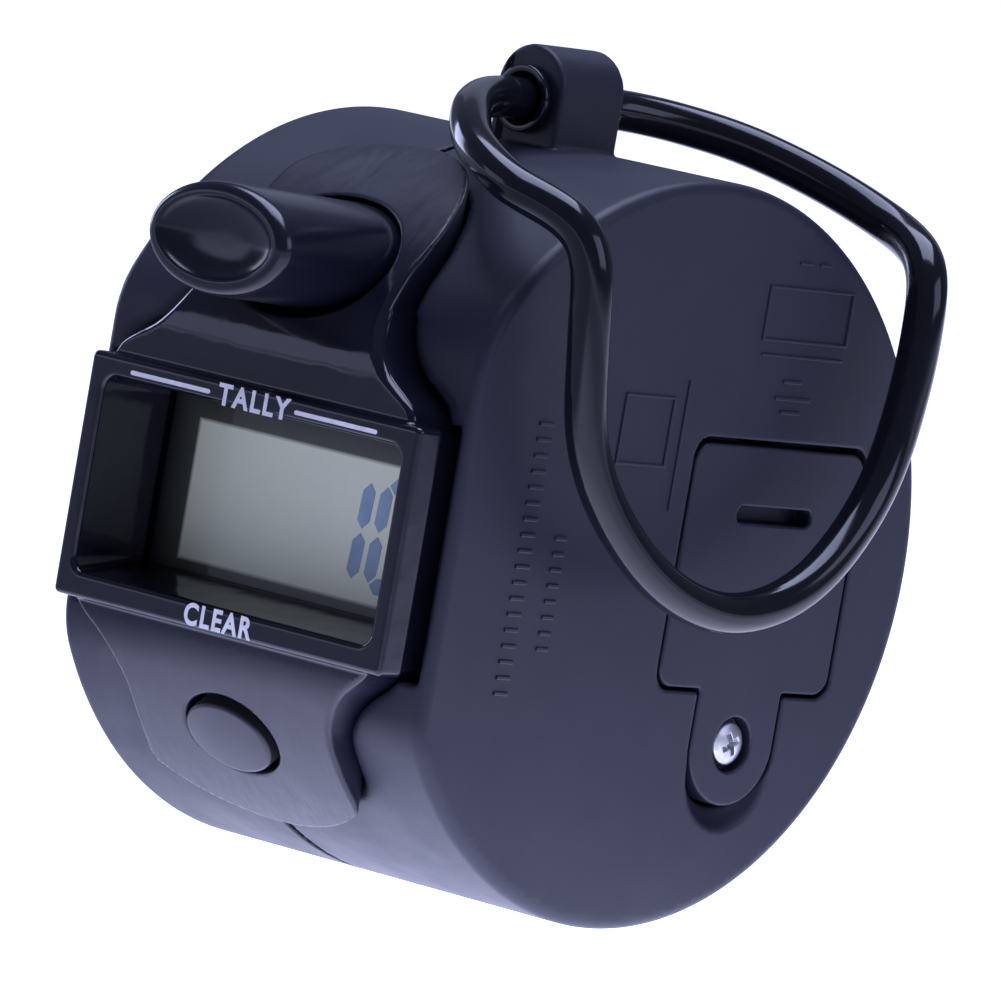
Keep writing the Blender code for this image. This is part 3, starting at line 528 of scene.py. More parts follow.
def curve_through(points, steps):
    """A Catmull-Rom curve through the points."""
    pts = np.array([points[0]] + list(points) + [points[-1]], float)
    line = []
    for a, b, c, d in zip(pts, pts[1:], pts[2:], pts[3:]):
        for k in range(steps):
            t = k / steps
            line.append(0.5 * (2 * b + (c - a) * t + (2 * a - 5 * b + 4 * c - d) * t * t
                               + (3 * b - 3 * c + d - a) * t ** 3))
    line.append(pts[-1])
    return np.array(line)


def even_steps(line, step):
    length = np.concatenate([[0.0], np.cumsum(np.linalg.norm(np.diff(line, axis=0), axis=1))])
    count = max(int(length[-1] / step), 2)
    at = np.linspace(0.0, length[-1], count + 1)
    return np.stack([np.interp(at, length, line[:, k]) for k in range(3)], 1)


def swept(name, line, radius, sides=32, end_round=0.25):
    """A round tube along a line of points, with softened ends."""
    tangent = np.gradient(line, axis=0)
    tangent /= np.linalg.norm(tangent, axis=1)[:, None]
    side = np.cross(tangent[0], (0.3, 0.2, 0.9))
    side /= np.linalg.norm(side)
    rings = []
    turns = full_turn(sides)
    for p, t in zip(line, tangent):
        side = side - t * side.dot(t)
        side /= np.linalg.norm(side)
        up = np.cross(t, side)
        rings.append(p + radius * (np.cos(turns)[:, None] * side + np.sin(turns)[:, None] * up))
    for end, sign in ((0, -1.0), (-1, 1.0)):
        centre, ring = line[end], rings[end]
        caps = []
        for angle in (30.0, 60.0, 90.0):
            a = math.radians(angle)
            scale = (radius - end_round + end_round * math.cos(a)) / radius
            caps.append(centre + (ring - centre) * scale
                        + sign * tangent[end] * end_round * math.sin(a))
        rings = caps[::-1] + rings if end == 0 else rings + caps
    return bridged(name, rings)


def turned_collar(name, profile, sides=64):
    """A closed (y, radius) profile turned about the ring's pivot."""
    turns = full_turn(sides)
    rings = [np.stack([radius * np.cos(turns), np.full(sides, y),
                       PIVOT_Z + radius * np.sin(turns)], 1) for y, radius in profile]
    return bridged(name, rings, closed_loop=True)


def rounded_profile(corners, radius, steps=5):
    """A closed (y, radius) outline with every corner rounded."""
    points = []
    n = len(corners)
    for k in range(n):
        before, here, after = (np.array(corners[(k + j) % n], float) for j in (-1, 0, 1))
        a, b = before - here, after - here
        ua, ub = a / np.linalg.norm(a), b / np.linalg.norm(b)
        half = math.acos(max(-1.0, min(1.0, ua.dot(ub)))) / 2.0
        reach = min(radius / math.tan(half), 0.45 * np.linalg.norm(a), 0.45 * np.linalg.norm(b))
        for s in range(steps + 1):
            t = s / steps
            p = (1 - t) ** 2 * (here + ua * reach) + 2 * t * (1 - t) * here
            points.append(tuple(p + t * t * (here + ub * reach)))
    return points


def oval_rings(start, angle, half, profile, sides=112):
    """Rings of an oval key; profile is (distance in, inset, share of the inset oval kept)."""
    dy, dz = math.cos(angle), -math.sin(angle)
    turns = full_turn(sides)
    c, s = np.cos(turns), np.sin(turns)
    nx, nv = c / half[0], s / half[1]
    size = np.hypot(nx, nv)
    rings = []
    for at, inset, keep in profile:
        u = (half[0] * c - inset * nx / size) * keep
        v = (half[1] * s - inset * nv / size) * keep
        rings.append(np.stack([start[0] + u, start[1] + dy * at - dz * v,
                               start[2] + dz * at + dy * v], 1))
    return rings


# ---------------------------------------------------------------- materials

def feed(node, socket, value):
    """Links a node's output to a socket, or sets a constant on the socket itself."""
    if isinstance(value, bpy.types.NodeSocket):
        node.id_data.links.new(value, node.inputs[socket])
    elif isinstance(value, tuple) and node.inputs[socket].type == "RGBA":
        node.inputs[socket].default_value = (*value, 1.0)
    else:
        node.inputs[socket].default_value = value


def add(tree, kind, **values):
    """A node, with values for its sockets and for its own settings."""
    node = tree.nodes.new(kind)
    for key, value in values.items():
        if key in node.inputs:
            feed(node, key, value)
        else:
            setattr(node, key, value)
    return node


def new_material(name):
    """A material with its node tree, its shader and the object's coordinates."""
    made = bpy.data.materials.new(name)
    made.use_nodes = True
    tree = made.node_tree
    at = add(tree, "ShaderNodeTexCoord").outputs["Object"]
    return made, tree, tree.nodes["Principled BSDF"], at


def axes(tree, vector):
    node = add(tree, "ShaderNodeSeparateXYZ")
    feed(node, 0, vector)
    return node.outputs


def noise(tree, vector, scale, detail=3.0, roughness=0.5):
    return add(tree, "ShaderNodeTexNoise", Scale=scale, Detail=detail, Roughness=roughness,
               Vector=vector).outputs["Fac"]


def ramp(tree, factor, low, high, at=(0.3, 0.7)):
    """Goes from low to high while the factor goes from at[0] to at[1]."""
    node = add(tree, "ShaderNodeMapRange", Value=factor)
    for socket, value in (("From Min", at[0]), ("From Max", at[1]), ("To Min", low),
                          ("To Max", high)):
        feed(node, socket, value)
    return node.outputs["Result"]


def mix_colour(tree, factor, a, b):
    node = add(tree, "ShaderNodeMix", data_type="RGBA", Factor=factor)
    feed(node, 6, a)
    feed(node, 7, b)
    return node.outputs[2]


def mottled(tree, vector, scale, low, high, detail=3.0):
    """Two close colours, mixed in soft clouds."""
    cloud = noise(tree, vector, scale, detail)
    return mix_colour(tree, ramp(tree, cloud, 0.0, 1.0), low, high)


def math_node(tree, operation, a, b=0.5):
    node = add(tree, "ShaderNodeMath", operation=operation)
    feed(node, 0, a)
    feed(node, 1, b)
    return node.outputs[0]


def bump(tree, height, strength, distance, below=None):
    node = add(tree, "ShaderNodeBump", Strength=strength, Distance=distance, Height=height)
    if below is not None:
        feed(node, "Normal", below)
    return node.outputs["Normal"]


def shell_plastic(name):
    """Matte black moulding: spark-eroded grain, slight mottling, and a dark line of painted shade
    along the seam, where the gap between the shells lies in shadow.
    """
    made, tree, shader, at = new_material(name)
    seam_x = float((SEAM_X - FRAME_ORIGIN[0]) * MM)
    off_seam = math_node(tree, "ABSOLUTE",
                         math_node(tree, "SUBTRACT", axes(tree, at)["X"], seam_x))
    # Painted shade: within 0.34 mm of the seam the colour goes to near black and the surface to
    # fully rough, standing in for the shadow in the gap.
    seam = ramp(tree, off_seam, 1.0, 0.0, (0.00027, 0.00034))
    colour = mottled(tree, at, 90.0, (0.0095, 0.0108, 0.0240), (0.0120, 0.0133, 0.0285))
    feed(shader, "Base Color", mix_colour(tree, seam, colour, PAINTED_SHADE_COLOUR))
    rub = noise(tree, at, 260.0, 4.0, 0.6)
    feed(shader, "Roughness", math_node(tree, "MAXIMUM", ramp(tree, rub, 0.44, 0.54), seam))
    grain = noise(tree, at, 9000.0, 2.0, 0.6)
    pits = noise(tree, at, 3200.0, 2.0, 0.55)
    coarse = bump(tree, pits, 0.22, 0.00003)
    feed(shader, "Normal", bump(tree, grain, 0.3, 0.000015, coarse))
    feed(shader, "Specular IOR Level", 0.42)
    return made


def key_plastic(name):
    """Satin on the key's face, with painted shade down its side: near black and matt where the
    side wall stands in shadow.
    """
    made, tree, shader, at = new_material(name)
    inward = (0.0, math.cos(RESET_ANGLE), -math.sin(RESET_ANGLE))
    deep = add(tree, "ShaderNodeVectorMath", operation="DOT_PRODUCT")
    feed(deep, 0, at)
    feed(deep, 1, inward)
    face = float(np.dot(inward, place(RESET_START)))
    # Painted shade: from 0.24 to 0.4 mm in from the face the colour goes to near black and the
    # surface to fully rough, standing in for the shadow on the key's side wall.
    side = ramp(tree, deep.outputs["Value"], 0.0, 1.0, (face + 0.00024, face + 0.0004))
    colour = mottled(tree, at, 120.0, (0.0105, 0.0115, 0.0240), (0.0125, 0.0135, 0.0280))
    feed(shader, "Base Color", mix_colour(tree, side, colour, PAINTED_SHADE_COLOUR))
    rub = noise(tree, at, 300.0, 4.0, 0.6)
    feed(shader, "Roughness", math_node(tree, "MAXIMUM", ramp(tree, rub, 0.34, 0.42), side))
    return made


def gloss_plastic(name, rough=(0.07, 0.13), wobble=0.1):
    """Polished black moulding with a slightly uneven skin."""
    made, tree, shader, at = new_material(name)
    feed(shader, "Base Color", mottled(tree, at, 120.0, *GLOSS_COLOURS))
    haze = noise(tree, at, 420.0, 4.0, 0.6)
    feed(shader, "Roughness", ramp(tree, haze, *rough))
    wave = noise(tree, at, 160.0, 2.0)
    feed(shader, "Normal", bump(tree, wave, wobble, 0.00012))
    return made


def panel_plastic(name, gloss_from, gloss_to, fade):
    """Polished between two heights, satin with fine slanting rub marks above and below."""
    gloss_from, gloss_to = place([(0.0, 0.0, gloss_from), (0.0, 0.0, gloss_to)])[:, 2].tolist()
    made, tree, shader, at = new_material(name)
    height = axes(tree, at)["Z"]
    below = ramp(tree, height, 1.0, 0.0, (gloss_from - fade, gloss_from))
    above = ramp(tree, height, 0.0, 1.0, (gloss_to, gloss_to + 3.0 * fade))
    share = math_node(tree, "MAXIMUM", below, above)
    colour = mottled(tree, at, 120.0, *GLOSS_COLOURS)
    feed(shader, "Base Color", mix_colour(tree, share, colour, (0.0105, 0.0115, 0.0245)))
    slant = add(tree, "ShaderNodeMapping", Scale=(9.0, 1.0, 0.6),
                Rotation=(0.0, math.radians(52.0), 0.0), Vector=at)
    rub = noise(tree, slant.outputs["Vector"], 700.0, 3.0, 0.6)
    haze = noise(tree, at, 420.0, 4.0, 0.6)
    rough = add(tree, "ShaderNodeMix", data_type="FLOAT", Factor=share)
    feed(rough, 2, ramp(tree, haze, 0.07, 0.15))
    feed(rough, 3, ramp(tree, rub, 0.30, 0.42))
    feed(shader, "Roughness", rough.outputs[0])
    wave = noise(tree, at, 240.0, 2.5)
    smooth = bump(tree, wave, 0.3, 0.0003)
    lines = math_node(tree, "MULTIPLY", rub, share)
    feed(shader, "Normal", bump(tree, lines, 0.10, 0.00002, smooth))
    return made


def coated_wire(name):
    """Black lacquer over wire, with faint orange peel."""
    made, tree, shader, at = new_material(name)
    feed(shader, "Base Color",
         mottled(tree, at, 70.0, (0.0045, 0.0048, 0.0085), (0.0065, 0.0070, 0.0115), 2.0))
    haze = noise(tree, at, 500.0, 3.0, 0.6)
    feed(shader, "Roughness", ramp(tree, haze, 0.10, 0.18))
    peel = noise(tree, at, 900.0, 2.0)
    feed(shader, "Normal", bump(tree, peel, 0.08, 0.00004))
    feed(shader, "Specular IOR Level", 0.35)
    feed(shader, "Coat Weight", 0.15)
    feed(shader, "Coat Roughness", 0.05)
    return made


def metal(name, colour, roughness, stretch=(1.0, 1.0, 1.0)):
    """Plated or bare metal; dull marks run across the stretched axis."""
    made, tree, shader, at = new_material(name)
    turn = add(tree, "ShaderNodeMapping", Scale=stretch, Vector=at)
    marks = noise(tree, turn.outputs["Vector"], 1500.0, 4.0, 0.6)
    dull = tuple(c * 0.72 for c in colour)
    feed(shader, "Base Color",
         mix_colour(tree, ramp(tree, marks, 0.0, 1.0, (0.35, 0.6)), dull, colour))
    feed(shader, "Roughness", ramp(tree, marks, roughness + 0.12, roughness))
    feed(shader, "Metallic", 1.0)
    feed(shader, "Normal", bump(tree, marks, 0.1, 0.00001))
    return made


def plain(name, low, high, roughness, scale=300.0, grain=0.1):
    """A mottled material with a fine grain, for prints and for what sits inside."""
    made, tree, shader, at = new_material(name)
    cloud = noise(tree, at, scale)
    feed(shader, "Base Color", mix_colour(tree, ramp(tree, cloud, 0.0, 1.0), low, high))
    feed(shader, "Roughness", ramp(tree, cloud, roughness + 0.05, roughness - 0.05))
    fine = noise(tree, at, scale * 12.0, 2.0)
    feed(shader, "Normal", bump(tree, fine, grain, 0.00002))
    return made


def display_face(name):
    """Grey-green liquid crystal behind glass, with an olive border outside the lit field."""
    made, tree, shader, at = new_material(name)
    split = axes(tree, at)
    x_mid, _, z_mid = place((0.0, 0.0, DISPLAY_Z)).tolist()
    x_half, z_half = 0.0091, 0.00405
    past = []
    for axis, middle, half in (("X", x_mid, x_half), ("Z", z_mid, z_half)):
        off = math_node(tree, "ABSOLUTE", math_node(tree, "SUBTRACT", split[axis], middle))
        past.append(math_node(tree, "SUBTRACT", off, half))
    edge = math_node(tree, "MAXIMUM", *past)
    outside = ramp(tree, edge, 0.0, 1.0, (-0.0001, 0.00015))
    cloud = noise(tree, at, 170.0)
    # Painted shade and light: the field goes from darker at its left edge to lighter at its right
    # edge, standing in for the hood's shade on its left.
    fall = ramp(tree, split["X"], 0.0, 1.0, (x_mid - x_half, x_mid + x_half))
    field = mix_colour(tree, fall, (0.74, 0.78, 0.58), (0.98, 1.0, 0.76))
    field = mix_colour(tree, ramp(tree, cloud, 0.0, 0.16), field, (0.62, 0.66, 0.50))
    # Painted shade: the border darkens from olive next to the field to near black 1.9 mm farther
    # out, standing in for the shadow of the hood's walls.
    border = mix_colour(tree, ramp(tree, edge, 0.0, 1.0, (0.0002, 0.0019)), (0.050, 0.056, 0.036),
                        (0.012, 0.013, 0.011))
    feed(shader, "Base Color", mix_colour(tree, outside, field, border))
    feed(shader, "Roughness", ramp(tree, noise(tree, at, 2500.0), 0.42, 0.5))
    feed(shader, "Coat Weight", 0.6)
    feed(shader, "Coat Roughness", 0.04)
    return made


# Near black, painted as shade in the seam's gap and down the reset key's side.
PAINTED_SHADE_COLOUR = (0.0016, 0.0018, 0.0030)
GLOSS_COLOURS = ((0.0060, 0.0064, 0.0135), (0.0085, 0.0090, 0.0185))
SHELL = shell_plastic("black_shell_plastic")
RESET_PLASTIC = key_plastic("black_key_plastic")
GLOSS = gloss_plastic("black_gloss_plastic")
PLUNGER = gloss_plastic("black_plunger_plastic", (0.17, 0.24), 0.05)
PANEL = panel_plastic("black_panel_plastic", -8.0, 13.0, 1.2 * MM)
RING = coated_wire("black_coated_wire")
STEEL = metal("bright_plated_steel", (0.62, 0.62, 0.64), 0.34)
ZINC = metal("zinc_plated_steel", (0.62, 0.63, 0.65), 0.28)
BRASS = metal("turned_brass", (0.80, 0.60, 0.28), 0.25, (9.0, 1.0, 1.0))
WHITE = plain("white_pad_print", (0.72, 0.73, 0.80), (0.86, 0.87, 0.93), 0.45, 1800.0, 0.25)
SEGMENT = plain("slate_blue_segment", (0.27, 0.38, 0.52), (0.35, 0.47, 0.62), 0.42, 700.0)
LCD = display_face("liquid_crystal_face")
BOARD = plain("green_solder_mask", (0.012, 0.11, 0.04), (0.02, 0.17, 0.06), 0.35, 900.0)
RESIN = plain("black_resin", (0.008, 0.008, 0.008), (0.014, 0.014, 0.014), 0.25)
RUBBER = plain("grey_conductive_rubber", (0.05, 0.05, 0.055), (0.09, 0.09, 0.095), 0.75)
NATURAL = plain("natural_moulding", (0.45, 0.45, 0.42), (0.54, 0.54, 0.50), 0.5)
SLEEVE = plain("blue_sleeve", (0.02, 0.035, 0.10), (0.035, 0.055, 0.14), 0.35)
RED_WIRE = plain("red_insulation", (0.36, 0.02, 0.015), (0.48, 0.04, 0.03), 0.45)
BLACK_WIRE = plain("black_insulation", (0.01, 0.01, 0.01), (0.02, 0.02, 0.02), 0.45)


# ---------------------------------------------------------------- pieces

def finish_piece(item, look, body, slot, *replaced):
    item.data.materials.clear()
    item.data.materials.append(look)
    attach(item, body)
    if replaced:
        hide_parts(*replaced)


def shells():
    ys = grid_lines(-20.2, 22.4, 0.36)
    zs = grid_lines(-22.4, 22.4, 0.36, (-9.6, -7.6, 0.2), (5.6, 7.6, 0.2))
    xs = grid_lines(-14.4, -1.6, 0.4, (-14.4, -13.2, 0.16), (-12.6, -6.6, 0.24),
                    (-2.5, -1.6, 0.1))
    item = moulded("left_shell_moulding", left_shell_field, xs, ys, zs)
    finish_piece(item, SHELL, "body", "shell_left", "left_shell")
    ys = grid_lines(-19.4, 22.4, 0.42, (-3.2, -2.3, 0.16), (2.3, 3.2, 0.16),
                    (0.5, 5.4, 0.24), (5.4, 16.9, 0.28))
    zs = grid_lines(-22.4, 28.0, 0.42, (-16.4, -6.9, 0.22), (5.6, 8.2, 0.2),
                    (20.6, 28.0, 0.22))
    xs = grid_lines(-3.0, 14.4, 0.42, (-3.0, -1.2, 0.12), (6.6, 12.2, 0.32),
                    (12.2, 14.4, 0.15))
    item = moulded("right_shell_moulding", right_shell_field, xs, ys, zs)
    finish_piece(item, SHELL, "body", "shell_right", "right_shell")


def panel():
    xs = grid_lines(-13.3, 13.3, 0.24, (-13.3, -11.6, 0.14), (11.6, 13.3, 0.14))
    ys = grid_lines(-22.1, -5.8, 0.24, (-22.1, -20.6, 0.13), (-20.6, -13.0, 0.17))
    zs = grid_lines(-19.6, 21.6, 0.24, (-19.6, -15.4, 0.13), (-8.4, -6.0, 0.14),
                    (4.2, 6.6, 0.14), (14.0, 21.6, 0.17))
    item = moulded("front_panel_moulding", front_panel_field, xs, ys, zs)
    finish_piece(item, PANEL, "body", "front_panel", "front_panel")


def battery_hatch():
    xs = grid_lines(12.3, 14.3, 0.12)
    ys = grid_lines(0.9, 16.6, 0.16)
    zs = grid_lines(-14.7, 7.6, 0.16)
    item = moulded("battery_cover_moulding", cover_field, xs, ys, zs)
    finish_piece(item, SHELL, "cover", "battery_cover", "battery_cover")
    y, z = TAB_CENTRE
    item = moulded("battery_screw_turned", screw_field,
                   grid_lines(7.4, 14.3, 0.09, (13.2, 14.3, 0.045)),
                   grid_lines(y - 1.5, y + 1.5, 0.05), grid_lines(z - 1.5, z + 1.5, 0.05))
    finish_piece(item, STEEL, "cover", "battery_screw", "battery_screw")


def count_plunger():
    """Rounded edge, dish that starts gently inside it, straight wall and flat back."""
    r = PLUNGER_EDGE
    edge = []
    for k in range(9):
        turn = math.radians(90.0 * k / 8)
        edge.append((r - r * math.sin(turn), r - r * math.cos(turn), 1.0))
    dish = []
    for k in range(1, 31):
        keep = 1.0 - k / 30.0
        ease = min((1.0 - keep) / DISH_EASE, 1.0)
        fall = (1.0 - keep ** 3) * ease * ease * (3.0 - 2.0 * ease)
        dish.append((DISH_DEPTH * fall, r, max(keep, SMALLEST_RING)))
    front = (edge + dish)[::-1]
    wall = [(r + (COUNT_LENGTH - r) * k / 12.0, 0.0, 1.0) for k in range(1, 12)]
    back = [(COUNT_LENGTH, 0.25, 1.0), (COUNT_LENGTH, 3.0, 0.5), (COUNT_LENGTH, 3.0, 0.01)]
    item = bridged("count_plunger_moulding",
                   oval_rings(COUNT_FACE, PLUNGER_TILT, COUNT_HALF, front + wall + back))
    finish_piece(item, PLUNGER, "count_plunger", "count_button", "count_button")


def reset_key():
    """Slightly domed face, rounded edge, wall, a collar inside the panel and a stem."""
    profile = []
    for k in range(12):
        keep = max(k / 12.0, SMALLEST_RING)
        profile.append((KEY_DOME * keep ** 2, KEY_EDGE, keep))
    for k in range(7):
        turn = math.radians(90.0 * k / 6)
        profile.append((KEY_DOME + KEY_EDGE - KEY_EDGE * math.cos(turn),
                        KEY_EDGE - KEY_EDGE * math.sin(turn), 1.0))
    profile += [(4.6, 0.0, 1.0), (4.6, -0.85, 1.0), (5.4, -0.85, 1.0), (5.4, 0.6, 0.5),
                (6.5, 0.6, 0.5), (6.5, 0.6, 0.01)]
    item = bridged("reset_key_moulding",
                   oval_rings(RESET_START, RESET_ANGLE, RESET_HALF, profile))
    finish_piece(item, RESET_PLASTIC, "reset_key", "reset_button", "reset_button")


def finger_loop():
    half = [(0.0, 0.4, PIVOT_Z), (0.0, 2.2, PIVOT_Z), (0.0, 3.8, PIVOT_Z), (0.5, 6.3, 24.4),
            (1.9, 9.1, 24.15), (4.4, 12.4, 23.5), (8.0, 15.6, 22.1), (12.2, 16.9, 20.5),
            (15.5, 16.0, 19.4), (17.0, 15.3, 18.3), (17.7, 14.9, 16.4), (18.0, 14.5, 12.3),
            (18.1, 13.5, 7.3), (18.4, 11.4, 3.6), (18.9, 7.9, 0.3), (19.2, 4.1, -1.6),
            (19.3, 0.0, -2.3)]
    front = [(x, -y, z) for x, y, z in half]
    line = even_steps(curve_through(front + half[-2::-1], 16), 0.3)
    for _ in range(14):
        line[1:-1] = 0.5 * line[1:-1] + 0.25 * (line[:-2] + line[2:])
    item = swept("finger_ring_wire", line, WIRE_RADIUS)
    finish_piece(item, RING, "ring", "finger_ring", "finger_ring")
    for name, side in (("ring_collar_front", -1), ("ring_collar_rear", 1)):
        a, b = sorted(side * (LUG_HALF + at) for at in COLLAR_SPAN)
        corners = [(a, 2.0), (b, 2.0), (b, 1.55), (a, 1.55)]
        item = turned_collar(name + "_moulding", rounded_profile(corners, 0.14))
        finish_piece(item, GLOSS, "body", name, name)


def bar(name, low, high, r, look, body, slot):
    """A thin raised bar with rounded edges."""
    low, high = np.array(low, float), np.array(high, float)
    lines = [grid_lines(a - 0.05, b + 0.05, max((b - a) / 24.0, 0.02)) for a, b in zip(low, high)]
    item = moulded(name, lambda x, y, z: box(x, y, z, low, high, r), *lines)
    finish_piece(item, look, body, slot)


def plate(name, outline, y, depth, look, slot):
    """A thin flat plate that faces -Y, from an (x, z) outline."""
    n = len(outline)
    points = [(px, y, pz) for px, pz in outline] + [(px, y + depth, pz) for px, pz in outline]
    faces = [tuple(range(n)), tuple(range(2 * n - 1, n - 1, -1))]
    faces += [(k, k + n, (k + 1) % n + n, (k + 1) % n) for k in range(n)]
    mesh = bpy.data.meshes.new(name)
    mesh.from_pydata(place(points).tolist(), [], faces)
    fix_normals(mesh, 30.0)
    finish_piece(new_object(name, mesh), look, "body", slot)


def rounded_bar_outline(left, right, z, half):
    turns = [math.radians(90 + 180 * k / 8) for k in range(9)]
    points = [(left + half + half * math.cos(t), z + half * math.sin(t)) for t in turns]
    points += [(right - half - half * math.cos(t), z - half * math.sin(t)) for t in turns]
    return points


def word(name, text, centre_x, centre_z, height, width):
    """A printed word, stretched to its height and width, on the hood's face."""
    curve = bpy.data.curves.new(name, "FONT")
    curve.body = text
    curve.align_x = "CENTER"
    curve.align_y = "CENTER"
    curve.size = 1.0
    curve.offset = 0.03
    curve.resolution_u = 6
    curve.extrude = 0.02
    curve.space_character = 1.18
    maker = new_object(name + "_curve", curve)
    bpy.context.view_layer.update()
    mesh = bpy.data.meshes.new_from_object(maker.evaluated_get(
        bpy.context.evaluated_depsgraph_get()))
    bpy.data.objects.remove(maker)
    co = np.empty(len(mesh.vertices) * 3)
    mesh.vertices.foreach_get("co", co)
    co = co.reshape(-1, 3)
    middle = (co.max(0) + co.min(0)) / 2
    size = co.max(0) - co.min(0)
    flat = (co - middle) / size
    points = np.stack([centre_x + flat[:, 0] * width, HOOD_FRONT - 0.012 - flat[:, 2] * 0.024,
                       centre_z + flat[:, 1] * height], 1)
    mesh.vertices.foreach_set("co", place(points).ravel())
    mesh.update()
    finish_piece(new_object(name, mesh), WHITE, "body", "front_panel")


def labels():
    word("label_upper", "TALLY", 0.15, 5.42, 1.28, 5.7)
    word("label_lower", "CLEAR", 0.25, -7.32, 1.32, 5.4)
    for name, left, right in (("label_line_left", -9.75, -3.35), ("label_line_right", 3.35, 9.85)):
        plate(name, rounded_bar_outline(left, right, 5.38, 0.13), HOOD_FRONT - 0.024, 0.02,
              WHITE, "front_panel")


DIGITS = {"0": "abcdef", "1": "bc"}


def segment_outline(kind, cx, cz, width, height, thick, lean):
    """One bar of a digit, as a pointed outline."""
    half_w, half_h, t = width / 2 - thick / 2, height / 2 - thick / 2, thick / 2
    spans = {"a": ((-half_w, half_h), (half_w, half_h)), "b": ((half_w, 0), (half_w, half_h)),
             "c": ((half_w, -half_h), (half_w, 0)), "d": ((-half_w, -half_h), (half_w, -half_h)),
             "e": ((-half_w, -half_h), (-half_w, 0)), "f": ((-half_w, 0), (-half_w, half_h))}
    (ax, az), (bx, bz) = spans[kind]
    length = math.hypot(bx - ax, bz - az)
    ux, uz = (bx - ax) / length, (bz - az) / length
    gap = 0.12
    a = (ax + ux * gap, az + uz * gap)
    b = (bx - ux * gap, bz - uz * gap)
    points = []
    for (px, pz), s in ((a, 1), (b, -1)):
        for across, inward in ((-1, 1.0), (0, 0.0), (1, 1.0)):
            along, k = s * t * inward, t * across * s
            points.append((px + ux * along - uz * k, pz + uz * along + ux * k))
    return [(cx + x + z * lean, cz + z) for x, z in points]


def display():
    low, high = (-11.4, GLASS_FRONT, -6.2), (11.4, -14.7, 4.5)
    edges = [((-11.5, -11.1, 0.08), (11.1, 11.5, 0.08)), (),
             ((-6.3, -5.9, 0.08), (4.2, 4.6, 0.08))]
    lines = [grid_lines(a - 0.1, b + 0.1, step, *fine)
             for a, b, step, fine in zip(low, high, (0.6, 0.08, 0.6), edges)]
    item = moulded("lcd_glass_plate", lambda x, y, z: box(x, y, z, low, high, 0.1), *lines)
    finish_piece(item, LCD, "body", "lcd_glass", "lcd_glass")
    number = 0
    for digit, cx in (("1", 3.55), ("0", 7.1)):
        for kind in DIGITS[digit]:
            number += 1
            outline = segment_outline(kind, cx, DISPLAY_Z, 3.15, 6.8, 0.95, 0.06)
            plate("lcd_segment_%d" % number, outline, GLASS_FRONT - 0.03, 0.02, SEGMENT,
                  "lcd_glass")


def relief_marks():
    """Plain raised marks on the battery side: frames, polarity signs and rows of tick bars."""
    face = BODY_HALF_WIDTH
    marks = [("frame_top", (5.0, 16.2), (12.7, 16.4)), ("frame_bottom", (5.0, 13.1), (12.7, 13.3)),
             ("frame_left", (5.0, 13.1), (5.2, 16.4)), ("frame_right", (12.5, 13.1), (12.7, 16.4)),
             ("frame_foot", (5.2, 12.2), (12.5, 12.4)),
             ("dash_1", (7.3, 17.7), (8.4, 17.9)), ("dash_2", (9.1, 17.7), (10.0, 17.9)),
             ("bar_1", (7.6, 10.7), (9.2, 10.95)), ("bar_2", (7.1, 9.7), (10.2, 9.95)),
             ("bar_3", (7.8, 8.9), (9.5, 9.15)),
             ("square_top", (-6.0, 9.2), (-1.6, 9.4)), ("square_foot", (-6.0, 5.2), (-1.6, 5.4)),
             ("square_left", (-6.0, 5.2), (-5.8, 9.4)), ("square_right", (-1.8, 5.2), (-1.6, 9.4)),
             ("rule", (-0.7, 2.6), (-0.55, 10.4))]
    for k in range(18):
        low = -8.6 + 0.92 * k
        marks.append(("tick_long_%d" % (k + 1), (-13.0, low), (-11.8, low + 0.26)))
    for k in range(8):
        low = -5.9 + 0.92 * k
        marks.append(("tick_short_%d" % (k + 1), (-10.0, low), (-9.0, low + 0.26)))
    for name, (y0, z0), (y1, z1) in marks:
        bar("relief_" + name, (face - 0.1, y0, z0), (face + 0.1, y1, z1), 0.06, SHELL, "body",
            "shell_right")


def carried_over():
    looks = {"lcd_reflector": ZINC, "lcd_holder": NATURAL, "zebra_strip_top": RUBBER,
             "zebra_strip_bottom": RUBBER, "circuit_board": BOARD, "chip_blob": RESIN,
             "capacitor": SLEEVE, "resistor": RESIN, "timing_crystal": ZINC,
             "count_spring_left": ZINC, "count_spring_right": ZINC, "count_switch_body": RESIN,
             "count_switch_stem": NATURAL, "reset_dome": RUBBER, "screw_insert": BRASS,
             "button_cell": STEEL, "cell_contact_negative": ZINC, "cell_contact_positive": ZINC,
             "wire_negative": BLACK_WIRE, "wire_positive": RED_WIRE}
    for k in range(1, 5):
        looks["board_screw_%d" % k] = ZINC
    for k in range(1, 4):
        looks["shell_screw_%d" % k] = ZINC
    for name, look in looks.items():
        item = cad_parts[name]
        item.data.materials.clear()
        item.data.materials.append(look)


# ---------------------------------------------------------------- studio

SKY = (0.62, 0.68, 1.0)
LIGHTS_AIM = Vector((0.0, 0.0, 0.025))


def area_light(name, spot, size, power):
    data = bpy.data.lights.new(name, "AREA")
    data.shape = "RECTANGLE"
    data.size, data.size_y = size
    data.energy = power
    data.color = SKY
    item = new_object(name, data)
    item.location = spot
    aim = LIGHTS_AIM - Vector(spot)
    item.rotation_euler = aim.to_track_quat("-Z", "Y").to_euler()


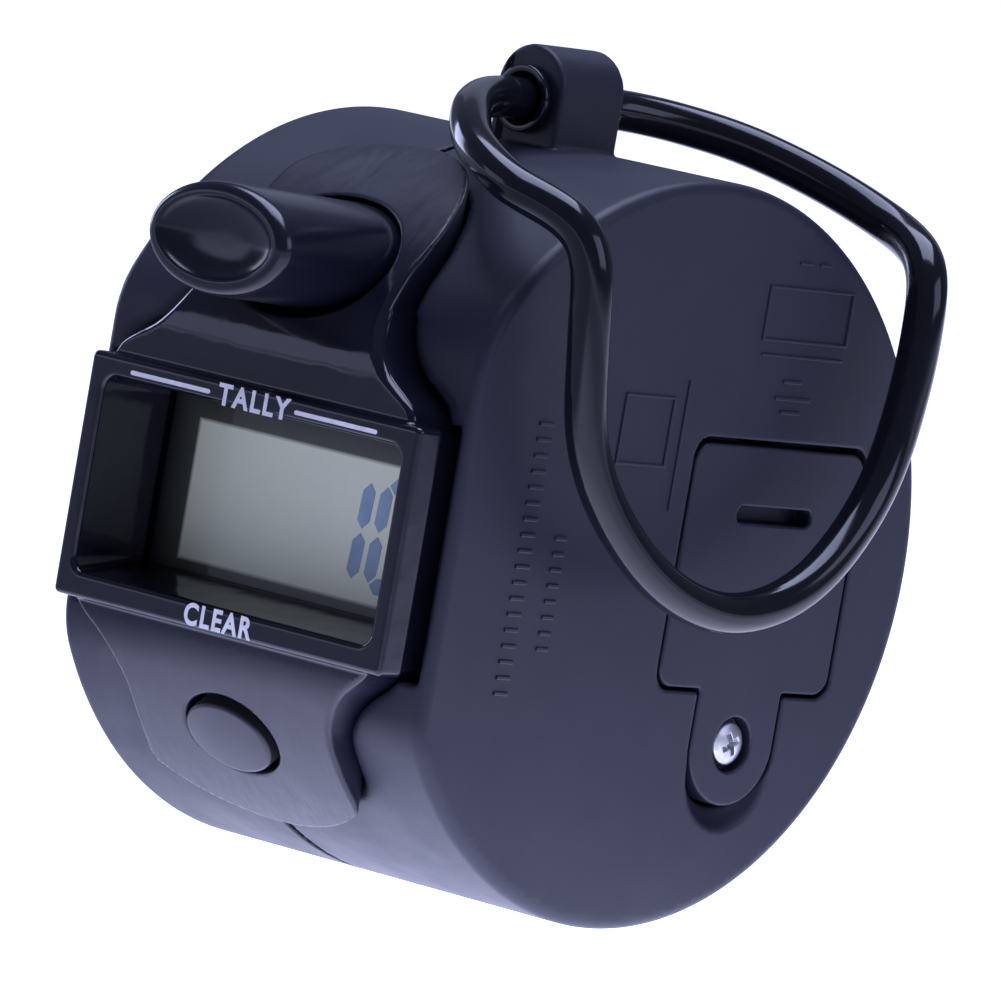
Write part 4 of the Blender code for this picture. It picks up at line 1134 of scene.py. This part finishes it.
def light_table():
    """A pale luminous table: brightest under the object, dimmer at its front left and right."""
    half = 40.0
    mesh = bpy.data.meshes.new("studio_floor")
    mesh.from_pydata([(-half, -half, 0.0), (half, -half, 0.0), (half, half, 0.0),
                      (-half, half, 0.0)], [], [(0, 1, 2, 3)])
    floor = new_object("studio_floor", mesh)
    floor.location.z = CAD_BOX[0][2]
    made, tree, shader, at = new_material("pale_floor")
    split = axes(tree, at)
    offset = add(tree, "ShaderNodeVectorMath", operation="DISTANCE")
    feed(offset, 0, at)
    feed(offset, 1, (0.006, 0.0, 0.0))
    distance = offset.outputs["Value"]
    near = ramp(tree, distance, 1.25, 0.0, (0.008, 0.048))
    diagonal = math_node(tree, "ADD", split["X"], split["Y"])
    front = ramp(tree, diagonal, 0.12, 1.0, (-0.08, -0.042))
    side = ramp(tree, split["X"], 1.0, 0.3, (0.045, 0.20))
    far = ramp(tree, distance, 0.0, 1.0, (0.7, 1.6))
    level = math_node(tree, "MAXIMUM", math_node(tree, "MINIMUM", front, side), far)
    for socket, value in (("Base Color", (0.25, 0.25, 0.26)), ("Roughness", 0.9),
                          ("Specular IOR Level", 0.1), ("Emission Color", (0.96, 1.0, 1.42)),
                          ("Emission Strength", math_node(tree, "ADD", level, near))):
        feed(shader, socket, value)
    floor.data.materials.append(made)


def studio():
    light_table()
    world = bpy.data.worlds.new("studio_world")
    bpy.context.scene.world = world
    world.use_nodes = True
    tree = world.node_tree
    background = tree.nodes["Background"]
    up = axes(tree, add(tree, "ShaderNodeTexCoord").outputs["Generated"])["Z"]
    feed(background, "Color", SKY)
    feed(background, "Strength", ramp(tree, up, 0.85, 0.15, (0.01, 0.06)))
    area_light("top_softbox", (-0.10, 0.10, 0.95), (0.8, 0.8), 13.0)
    area_light("left_window", (-1.00, 0.04, 0.16), (0.35, 0.5), 3.3)
    area_light("front_window", (-0.72, -0.80, 0.20), (0.5, 0.27), 0.55)
    area_light("right_softbox", (0.92, 0.30, 0.50), (0.7, 0.5), 2.4)
    area_light("back_softbox", (-0.55, 0.85, 0.42), (0.9, 0.4), 0.3)


def camera():
    data = bpy.data.cameras.new("photo_camera")
    data.lens = 409.2
    data.sensor_width = 36.0
    data.clip_end = 200.0
    item = new_object("photo_camera", data)
    item.location = (0.435034, -0.496309, 0.077321)
    item.rotation_euler = [math.radians(a) for a in (85.2432, -9.7415, 42.0566)]
    bpy.context.scene.camera = item


shells()
panel()
battery_hatch()
count_plunger()
reset_key()
finger_loop()
labels()
display()
relief_marks()
carried_over()
studio()
camera()
bpy.context.scene.view_settings.view_transform = "Standard"
